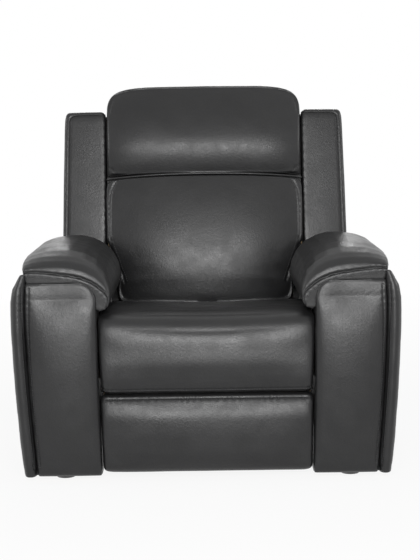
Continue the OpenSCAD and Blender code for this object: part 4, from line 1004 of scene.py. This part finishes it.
PAD_WIDTH = 0.238       # of the front of a pad, between the ends of its seam
PAD_SEAM = ((0.0, 0.64), (0.05, 0.655), (0.15, 0.655), (0.26, 0.64), (0.42, 0.61),
            (0.58, 0.575), (0.72, 0.51), (0.84, 0.41), (0.93, 0.29), (0.97, 0.17),
            (0.95, 0.06))       # shares of the pad's width and height along its front seam
TWIN_ROWS = (0.0065, 0.0125)    # from the seam to the two rows of stitches over it


def make_arm_pads():
    """Arm pads: a crowned pillow with a boxing band and twin stitching over its front seam."""
    low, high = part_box("arm_pad_left")
    arm_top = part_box("arm_frame_left")[1].z
    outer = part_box("arm_outer_panel_left")[0].x + 0.0315
    pad = remeshed("arm_pad_left", "arm_pad_upholstery_left", "arm_pad")
    co, no = coords(pad), normals(pad)
    under = (no[:, 2] < -0.3) | ((no[:, 0] < -0.3) & (co[:, 2] < arm_top - 0.002))
    held = np.where(under, 1.0, np.where(no[:, 1] > 0.6, 0.8, 0.0))
    held = np.maximum(held, np.clip(1 - (co[:, 1] - low.y) / 0.02, 0, 0.85))
    swollen(pad, held, swell=0.005)
    refined(pad)
    seam = curved([(outer + a * PAD_WIDTH, low.y, low.z + b * (high.z - low.z))
                   for a, b in PAD_SEAM])
    grooved(pad, seam, width=0.0038, depth=0.0036, gather=0.0004)
    uneven(pad, height=0.0011, size=0.13, seed=6.0)
    tree = surface(pad)
    rows = []
    for up in TWIN_ROWS:
        row = []
        for p, q in zip(seam, seam[1:]):
            across = (q - p).cross(Vector(FORWARD)).normalized()
            row.append(p - across * up + Vector((0, 0.004, 0)))
        rows.append(stitches(tree, row[2:-2]))
    thread = gathered([t for row in rows for t in row], "arm_pad_stitching_left")
    welt = gathered([piping(tree, seam, sink=0.4, diameter=0.0036)], "arm_pad_welt_left")
    paired("base", (pad, "leather", "leather", "arm_pad_", 0.75), (thread, "thread", "leather"),
           (welt, "leather", "leather"))


HEM_DOWN, HEM_UP = 0.0035, 0.005        # how far the leather goes past the box's two edges


def hemmed(piece):
    """Draws the leather over the lower and upper edges of the box behind it."""
    co = coords(piece)
    low, high = co[:, 2].min(), co[:, 2].max()
    co[:, 2] -= HEM_DOWN * (1 - ease(co[:, 2], low + 0.004, low + 0.02))
    co[:, 2] += HEM_UP * ease(co[:, 2], high - 0.03, high - 0.006)
    set_coords(piece, co)


def fullness(height):
    """How full an arm front is at a share of its height: most halfway up, drawn in above."""
    return np.where(height < 0.5, 1 - ((height - 0.5) / 0.62) ** 2,
                    np.maximum(1 - ((height - 0.5) / 0.36) ** 2, -0.4))


LEATHER_T = 0.0012      # thickness of the leather over an arm front


def front_form(node_name, name, kind):
    """An arm front's form, a leather's thickness larger and drawn over its box."""
    piece = remeshed(node_name, name, kind)
    shifted(piece, LEATHER_T)
    hemmed(piece)
    return refined(piece)


FRONT_CROWN, FRONT_SWELL = 0.015, 0.003     # how far an arm front stands out in its middle
ROLL_CROWN, ROLL_SWELL = 0.009, 0.006       # the same for the roll beside it
TAPE = 0.0035                               # thickness of the leather behind the seams


def make_arm_fronts():
    """Padded arm fronts and the rolls down their outer edges."""
    panel = front_form("arm_front_panel_left", "arm_front_upholstery_left", "arm_front")
    low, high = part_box("arm_front_panel_left")
    co, no = coords(panel), normals(panel)
    u = np.clip((co[:, 0] - low.x) / (high.x - low.x), 0, 1)
    v = np.clip((co[:, 2] - low.z) / (high.z - low.z), 0, 1)
    crown = np.clip(-no[:, 1], 0, 1) * fullness(v) \
        * (np.sin(np.pi * u) ** 0.7 * FRONT_CROWN + FRONT_SWELL)
    set_coords(panel, co + np.outer(crown, (0, -1, 0)))
    uneven(panel, height=0.0010, size=0.14, seed=7.0)
    roll = front_form("arm_front_roll_left", "arm_roll_upholstery_left", "arm_roll")
    bottom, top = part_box("arm_front_roll_left")
    co = coords(roll)
    rows = np.clip(((co[:, 2] - bottom.z) / 0.01).astype(int), 0, 60)
    span = [co[np.abs(rows - k) < 2][:, 0] if (np.abs(rows - k) < 2).any() else co[:, 0]
            for k in range(61)]
    left_x, right_x = (np.array([f(x) for x in span])[rows] for f in (np.min, np.max))
    across = np.clip((co[:, 0] - left_x) / (right_x - left_x), 0, 1)
    bulge = ROLL_CROWN * (1 - (2 * across - 1) ** 2) + ROLL_SWELL * fullness(
        np.clip((co[:, 2] - bottom.z) / (top.z - bottom.z), 0, 1))
    bulge *= np.clip(-normals(roll)[:, 1], 0, 1) ** 0.5
    co[:, 1] -= evened(roll, bulge * (1 - ease(co[:, 2], top.z - 0.05, top.z)), 4)
    set_coords(roll, co)
    inner, outer = [], []
    for z in np.linspace(bottom.z + 0.02, top.z - 0.03, 34):
        ring = co[np.abs(co[:, 2] - z) < 0.004]
        inner.append(Vector((ring[:, 0].max(), bottom.y, z)))
        outer.append(Vector((ring[:, 0].min(), bottom.y, z)))
    line = [p * 0.72 + q * 0.28 for p, q in zip(inner, outer)]
    grooved(roll, line, width=0.003, depth=0.0018, gather=0.0005, reach=0.015)
    uneven(roll, height=0.0008, size=0.05, seed=8.0)
    row = [p * 0.80 + q * 0.20 for p, q in zip(inner, outer)]
    second = [p + Vector((0.010, 0, 0)) for p in inner]
    grooved(panel, second, width=0.003, depth=0.0016, gather=0.0005, reach=0.012)
    thread = gathered(stitches(surface(roll), row, FORWARD)
                      + stitches(surface(panel), second, FORWARD), "arm_front_stitching_left")
    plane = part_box("arm_frame_left")[0].y - 0.004
    seam = [inner[0] - Vector((0, 0, 0.021))] + inner
    tape = [Vector((p.x - 0.012, plane, p.z)) for p in seam]
    tape += [Vector((p.x + 0.014, plane, p.z)) for p in seam[::-1]]
    tape = strip("arm_front_tape_left", tape, TAPE * Vector(FORWARD))
    cap = strip("arm_front_cap_left", [Vector((x, plane, z)) for x, z in (
        (low.x + 0.01, high.z - 0.035), (high.x - 0.02, high.z - 0.06),
        (high.x - 0.06, high.z), (low.x + 0.01, high.z + 0.004))], TAPE * Vector(FORWARD))
    paired("base", (panel, "leather", "leather", "arm_front_panel_", 0.7),
           (roll, "leather", "leather", "arm_front_roll_", 0.8), (thread, "thread", "leather"),
           (tape, "leather_cover", "leather_cover"), (cap, "leather_cover", "leather_cover"))


ROUND = 0.024        # rounding of the rear cover's edges
WALL = 0.008         # thickness of the leather and board of a cover
COVER_MIDDLE = Vector((0, 0.4, 0))      # x and s of the middle of the rear cover


def rounded_rear(cover):
    """Turns the rear cover's corner between its rear face and its sides into a curve."""
    co = coords(cover)
    t, s = along_back(co)
    rear = t.max()
    rim = []
    flat = {v for p in cover.data.polygons
            if p.normal.dot(-BACK_AHEAD) > 0.9 for v in p.vertices if t[v] > rear - 1e-4}
    count = {}
    for p in cover.data.polygons:
        for key in p.edge_keys:
            if key[0] in flat and key[1] in flat:
                count.setdefault(key, []).append(p.normal.dot(-BACK_AHEAD) > 0.9)
    for (a, b), kinds in count.items():
        if len(kinds) == 2 and kinds[0] != kinds[1]:
            p, q = Vector((co[a][0], s[a], 0)), Vector((co[b][0], s[b], 0))
            steps = max(1, int((q - p).length / 0.003))
            rim += [p.lerp(q, i / steps) for i in range(steps + 1)]
    tree = KDTree(len(rim))
    for i, p in enumerate(rim):
        tree.insert(p, i)
    tree.balance()
    moved = co.copy()
    for i in range(len(co)):
        edge, _, b = tree.find((co[i][0], s[i], 0))
        a = rear - t[i]
        inner = a > WALL / 2 and b > WALL / 2
        less = WALL if inner else 0.0
        radius = ROUND - less
        a0, b0 = a - less, b - less
        if a0 > radius or b0 > radius or s[i] < 0.06:
            continue
        if b0 < a0:
            angle = (1 - a0 / radius) * math.pi / 4
        else:
            angle = math.pi / 2 - (1 - b0 / radius) * math.pi / 4
        new_b = radius * (1 - math.cos(angle)) + less
        new_a = radius * (1 - math.sin(angle)) + less
        way = Vector((co[i][0], s[i], 0)) - edge
        if way.length < 1e-6:
            way = COVER_MIDDLE - edge
        way.normalize()
        x, up = edge.x + way.x * new_b, edge.y + way.y * new_b
        moved[i] = on_back(x, rear - new_a, up)
    set_coords(cover, moved)


EDGE_ROUND = 0.002          # rounding of a cover's edges
SIDE_CROWN, SIDE_WAVES = 0.004, 0.0012      # how far an arm's side stands out, and its waves
WRAP = 0.003                # thickness of the leather round the inner front corner of an arm
WRAP_DEPTH = 0.075          # how far that leather goes to the rear
BLOCK_PLANE = 0.0888        # from an arm's front to the tape behind the seat's front corner


def side_cover(side, k):
    """Leather over the outer side of an arm, flat round the hand control."""
    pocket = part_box("switch_bezel")
    outer = softened_edges(copy_of("arm_outer_panel_" + side, "arm_outer_cover_" + side),
                           EDGE_ROUND)
    gridded(outer, 0.02, (Vector((0, 1, 0)), Vector((0, 0, 1))))
    co, no = coords(outer), normals(outer)
    low, high = co.min(axis=0), co.max(axis=0)
    u, v = (np.clip((co[:, axis] - low[axis]) / (high[axis] - low[axis]), 0, 1)
            for axis in (1, 2))
    facing = ease(np.abs(no[:, 0]) * np.sign(no[:, 0] * k), 0.6, 0.95)
    crown = SIDE_CROWN * (np.sin(np.pi * u) * np.sin(np.pi * v)) ** 0.5
    waves = np.array([SIDE_WAVES * noise.noise(Vector(c) * 9 + Vector((k, 0, 3))) for c in co])
    if k < 0:
        gap = np.maximum(np.maximum(pocket[0].y - co[:, 1], co[:, 1] - pocket[1].y),
                         np.maximum(pocket[0].z - co[:, 2], co[:, 2] - pocket[1].z))
        facing = facing * ease(gap, 0.010, 0.05)
    shifted(outer, (crown + waves) * facing)
    return dressed(outer, "leather_cover", "base", "leather_cover", "arm_outer_panel_" + side)


def front_wrap(side, k):
    """Leather round the inner front corner of an arm, with the tape behind it."""
    front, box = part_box("arm_frame_" + side)[0].y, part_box("arm_inner_panel_" + side)
    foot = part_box("arm_front_panel_" + side)
    low_x, high_x = (min(abs(b[0].x), abs(b[1].x)) for b in (foot, box))
    low_z, high_z = foot[0].z, box[0].z
    wrap = [Vector((k * x, y, z)) for x, y, z in (
        (low_x, front - 0.003, low_z), (low_x, front + WRAP_DEPTH, low_z),
        (high_x, front + WRAP_DEPTH, high_z), (high_x, front - 0.003, high_z))]
    backing("arm_front_wrap_" + side, wrap, Vector((k * WRAP, 0, 0)), "base")
    tape = [Vector((k * x, front + BLOCK_PLANE, z)) for x, z in (
        (low_x - 0.0008, low_z + 0.02), (low_x + 0.004, low_z + 0.02),
        (high_x + 0.003, high_z), (low_x - 0.0008, high_z))]
    backing("arm_block_tape_" + side, tape, Vector((0, 0.001, 0)), "base")


REAR_CROWN, REAR_WAVES = 0.006, 0.0016      # the same for the rear of the back


def make_covers():
    """Leather drawn over the arms' sides, the rear of the base and the back."""
    for side, k in SIDES:
        side_cover(side, k)
        inner = softened_edges(copy_of("arm_inner_panel_" + side, "arm_inner_cover_" + side),
                               EDGE_ROUND)
        dressed(inner, "leather_cover", "base", "leather_cover", "arm_inner_panel_" + side)
        front_wrap(side, k)
    rear = softened_edges(copy_of("base_rear_panel", "base_rear_cover"), EDGE_ROUND)
    dressed(rear, "leather_cover", "base", "leather_cover", "base_rear_panel")
    back = gridded(copy_of("back_outer_panel", "back_rear_cover"), 0.012,
                   (Vector((1, 0, 0)), BACK_AHEAD, UP_BACK))
    rounded_rear(back)
    co, no = coords(back), normals(back)
    t, s = along_back(co)
    facing = ease(-(no @ np.array(BACK_AHEAD)), 0.7, 0.95) * (t > t.max() - 0.006)
    u = np.clip(1 - (co[:, 0] / 0.42) ** 2, 0, 1)
    v = np.clip((s.max() - s) / 0.25, 0, 1) * ease(s, 0.06, 0.2)
    waves = np.array([REAR_WAVES * noise.noise(Vector(c) * 8) for c in co])
    shifted(back, facing * (REAR_CROWN * np.sqrt(u) * v + waves * ease(s, 0.06, 0.2)))
    dressed(back, "leather_cover", "back", "leather_cover", "back_outer_panel")


def finish_frame():
    """Materials of the timber, the steel mechanism, the drives and the hand control."""
    for part in frame["record"]["subparts"]:
        mesh = frame["nodes"][part["node"]].data
        mesh.materials.clear()
        mesh.materials.append(finish_of(part["material_slot"]))


# Studio

def backdrop_rays(tree):
    """1 for the rays that show the background itself, to the eye or in metal and glass."""
    look = tree.nodes.new("ShaderNodeLightPath")
    seen = look.outputs["Is Camera Ray"]
    for ray in ("Is Glossy Ray", "Is Transmission Ray"):
        either = node(tree, "ShaderNodeMath")
        either.operation = "MAXIMUM"
        tree.links.new(seen, either.inputs[0])
        tree.links.new(look.outputs[ray], either.inputs[1])
        seen = either.outputs[0]
    return seen


FLOOR_RADIUS = 14.0
FLOOR_FADE = {"From_Min": 1.0, "From_Max": 4.0, "To_Min": 0.9, "To_Max": 1.0}
WHITE = (1, 1, 1, 1)


def make_floor():
    """A flat pale floor that fades into the white behind it."""
    studio = setting("recliner_studio")
    turns = np.linspace(0, 2 * math.pi, 49)[:-1]
    points = [(0, 0, 0)] + [(FLOOR_RADIUS * math.cos(a), FLOOR_RADIUS * math.sin(a), 0)
                            for a in turns]
    faces = [(0, i + 1, (i + 1) % len(turns) + 1) for i in range(len(turns))]
    floor = made("studio_floor", points, faces)
    mat, tree, base = shader("floor", Base_Color=studio.floor, Roughness=0.7)
    glow = node(tree, "ShaderNodeEmission", Strength=1.0, Color=WHITE)
    mix = tree.nodes.new("ShaderNodeMixShader")
    place = tree.nodes.new("ShaderNodeTexCoord")
    away = node(tree, "ShaderNodeVectorMath")
    away.operation = "LENGTH"
    tree.links.new(place.outputs["Object"], away.inputs[0])
    fade = node(tree, "ShaderNodeMapRange", **FLOOR_FADE)
    tree.links.new(away.outputs["Value"], fade.inputs["Value"])
    share = node(tree, "ShaderNodeMath")
    share.operation = "MULTIPLY"
    tree.links.new(fade.outputs["Result"], share.inputs[1])
    tree.links.new(backdrop_rays(tree), share.inputs[0])
    tree.links.new(share.outputs[0], mix.inputs["Fac"])
    tree.links.new(base.outputs[0], mix.inputs[1])
    tree.links.new(glow.outputs[0], mix.inputs[2])
    tree.links.new(mix.outputs[0], tree.nodes["Material Output"].inputs["Surface"])
    floor.data.materials.append(mat)


def make_lamp(name, place, target, size, power):
    """A soft rectangular lamp that faces a target."""
    lamp = bpy.data.lights.new(name, "AREA")
    lamp.shape = "RECTANGLE"
    lamp.size, lamp.size_y = size
    lamp.energy = power
    holder = bpy.data.objects.new(name, lamp)
    bpy.context.scene.collection.objects.link(holder)
    holder.location = place
    holder.rotation_euler = (Vector(target) - Vector(place)).to_track_quat("-Z", "Y").to_euler()


FRAME_PX = (420, 560)
HORIZON_PX = 118.5      # height of the horizon in the photograph, from its top
FOCAL_PX = 1520         # focal length in pixels of the photograph
MIDDLE_PX = 205.5       # the seat's middle plane, from the left of the photograph
ROLL = math.radians(0.8)    # the photograph was taken slightly out of level
SENSOR_MM = 36


def make_camera():
    """A camera where the photograph was taken, tilted so that its horizon falls in place."""
    studio = setting("recliner_studio")
    data = bpy.data.cameras.new("camera")
    data.sensor_width = SENSOR_MM
    data.lens = SENSOR_MM * FOCAL_PX / max(FRAME_PX)
    data.shift_x = (FRAME_PX[0] / 2 - MIDDLE_PX) / max(FRAME_PX)
    camera = bpy.data.objects.new("camera", data)
    bpy.context.scene.collection.objects.link(camera)
    tilt = math.atan((FRAME_PX[1] / 2 - HORIZON_PX) / FOCAL_PX)
    camera.location = (0, -studio.camera_y, studio.camera_z)
    turn = Matrix.Rotation(math.pi / 2 - tilt, 3, "X") @ Matrix.Rotation(-ROLL, 3, "Z")
    camera.rotation_euler = turn.to_euler()
    bpy.context.scene.camera = camera


LAMPS = (("key_lamp", (0, -3.7, 1.5), (0, 0, 0.55), (1.5, 0.8)),
         ("left_lamp", (-3.2, -0.4, 1.7), (0, 0, 0.5), (1.2, 0.8)),
         ("right_lamp", (3.2, -0.4, 1.7), (0, 0, 0.5), (1.2, 0.8)),
         ("rear_lamp", (0, 3.2, 1.9), (0, 0.2, 0.6), (1.7, 0.7)))


def make_studio():
    """Floor, lamps, plain sky and camera."""
    studio = setting("recliner_studio")
    make_floor()
    for name, place, target, size in LAMPS:
        power = studio.key_power if name == "key_lamp" else studio.fill_power
        make_lamp(name, place, target, size, power)
    world = bpy.data.worlds.new("sky")
    world.use_nodes = True
    tree = world.node_tree
    back = tree.nodes["Background"]
    back.inputs["Color"].default_value = WHITE
    strength = node(tree, "ShaderNodeMix")
    strength.inputs["A"].default_value = studio.sky
    strength.inputs["B"].default_value = 1.0
    tree.links.new(backdrop_rays(tree), strength.inputs["Factor"])
    tree.links.new(strength.outputs["Result"], back.inputs["Strength"])
    bpy.context.scene.world = world
    bpy.context.scene.view_settings.view_transform = "Standard"
    make_camera()


class RECLINER_OT_seat(bpy.types.Operator):
    """Seat cushion with its rolled front and the row of stitches over the footrest."""
    bl_idname = "recliner.seat"
    bl_label = "Seat cushion"

    def execute(self, context):
        make_seat()
        return {"FINISHED"}


class RECLINER_OT_footrest(bpy.types.Operator):
    """Footrest pad with a stitched top edge."""
    bl_idname = "recliner.footrest"
    bl_label = "Footrest pad"

    def execute(self, context):
        make_footrest()
        return {"FINISHED"}


class RECLINER_OT_lumbar(bpy.types.Operator):
    """Lower back cushion with a seam down each side."""
    bl_idname = "recliner.lumbar"
    bl_label = "Lower back cushion"

    def execute(self, context):
        make_lumbar()
        return {"FINISHED"}


class RECLINER_OT_headrest(bpy.types.Operator):
    """Headrest with a seam down each side."""
    bl_idname = "recliner.headrest"
    bl_label = "Headrest"

    def execute(self, context):
        make_headrest()
        return {"FINISHED"}


class RECLINER_OT_wings(bpy.types.Operator):
    """Wings beside the headrest, each with a welt inside its outer edge."""
    bl_idname = "recliner.wings"
    bl_label = "Wings"

    def execute(self, context):
        make_wings()
        return {"FINISHED"}


class RECLINER_OT_arm_pads(bpy.types.Operator):
    """Arm pads with a boxing band and twin stitching over the front seam."""
    bl_idname = "recliner.arm_pads"
    bl_label = "Arm pads"

    def execute(self, context):
        make_arm_pads()
        return {"FINISHED"}


class RECLINER_OT_arm_fronts(bpy.types.Operator):
    """Padded arm fronts and the rolls down their outer edges."""
    bl_idname = "recliner.arm_fronts"
    bl_label = "Arm fronts"

    def execute(self, context):
        make_arm_fronts()
        return {"FINISHED"}


class RECLINER_OT_covers(bpy.types.Operator):
    """Leather drawn over the arms' sides, the rear of the base and the back."""
    bl_idname = "recliner.covers"
    bl_label = "Side and rear covers"

    def execute(self, context):
        make_covers()
        return {"FINISHED"}


class RECLINER_OT_frame(bpy.types.Operator):
    """Finishes of the timber, the steel mechanism, the drives and the hand control."""
    bl_idname = "recliner.frame"
    bl_label = "Frame and mechanism"

    def execute(self, context):
        finish_frame()
        return {"FINISHED"}


class RECLINER_OT_studio(bpy.types.Operator):
    """Floor, lamps, plain sky and camera."""
    bl_idname = "recliner.studio"
    bl_label = "Studio"

    def execute(self, context):
        make_studio()
        return {"FINISHED"}


OPERATORS = (RECLINER_OT_seat, RECLINER_OT_footrest, RECLINER_OT_lumbar, RECLINER_OT_headrest,
             RECLINER_OT_wings, RECLINER_OT_arm_pads, RECLINER_OT_arm_fronts,
             RECLINER_OT_covers, RECLINER_OT_frame, RECLINER_OT_studio)
GROUPS = (("recliner_leather", LeatherSettings), ("recliner_cushions", CushionSettings),
          ("recliner_studio", StudioSettings))


class RECLINER_PT_workshop(bpy.types.Panel):
    """Lists the settings and the jobs."""
    bl_label = "Recliner"
    bl_space_type = "VIEW_3D"
    bl_region_type = "UI"
    bl_category = "Recliner"

    def draw(self, context):
        for group, kind in GROUPS:
            box = self.layout.box()
            for key in kind.__annotations__:
                box.prop(getattr(context.scene, group), key)
        for kind in OPERATORS:
            self.layout.operator(kind.bl_idname)


def register():
    for group, kind in GROUPS:
        bpy.utils.register_class(kind)
        setattr(bpy.types.Scene, group, bpy.props.PointerProperty(type=kind))
    for kind in (*OPERATORS, RECLINER_PT_workshop):
        bpy.utils.register_class(kind)


def unregister():
    for kind in (RECLINER_PT_workshop, *OPERATORS[::-1]):
        bpy.utils.unregister_class(kind)
    for group, kind in GROUPS[::-1]:
        delattr(bpy.types.Scene, group)
        bpy.utils.unregister_class(kind)


def main():
    register()
    bpy.ops.recliner.seat()
    bpy.ops.recliner.footrest()
    bpy.ops.recliner.lumbar()
    bpy.ops.recliner.headrest()
    bpy.ops.recliner.wings()
    bpy.ops.recliner.arm_pads()
    bpy.ops.recliner.arm_fronts()
    bpy.ops.recliner.covers()
    bpy.ops.recliner.frame()
    bpy.ops.recliner.studio()


if __name__ == "__main__":
    main()
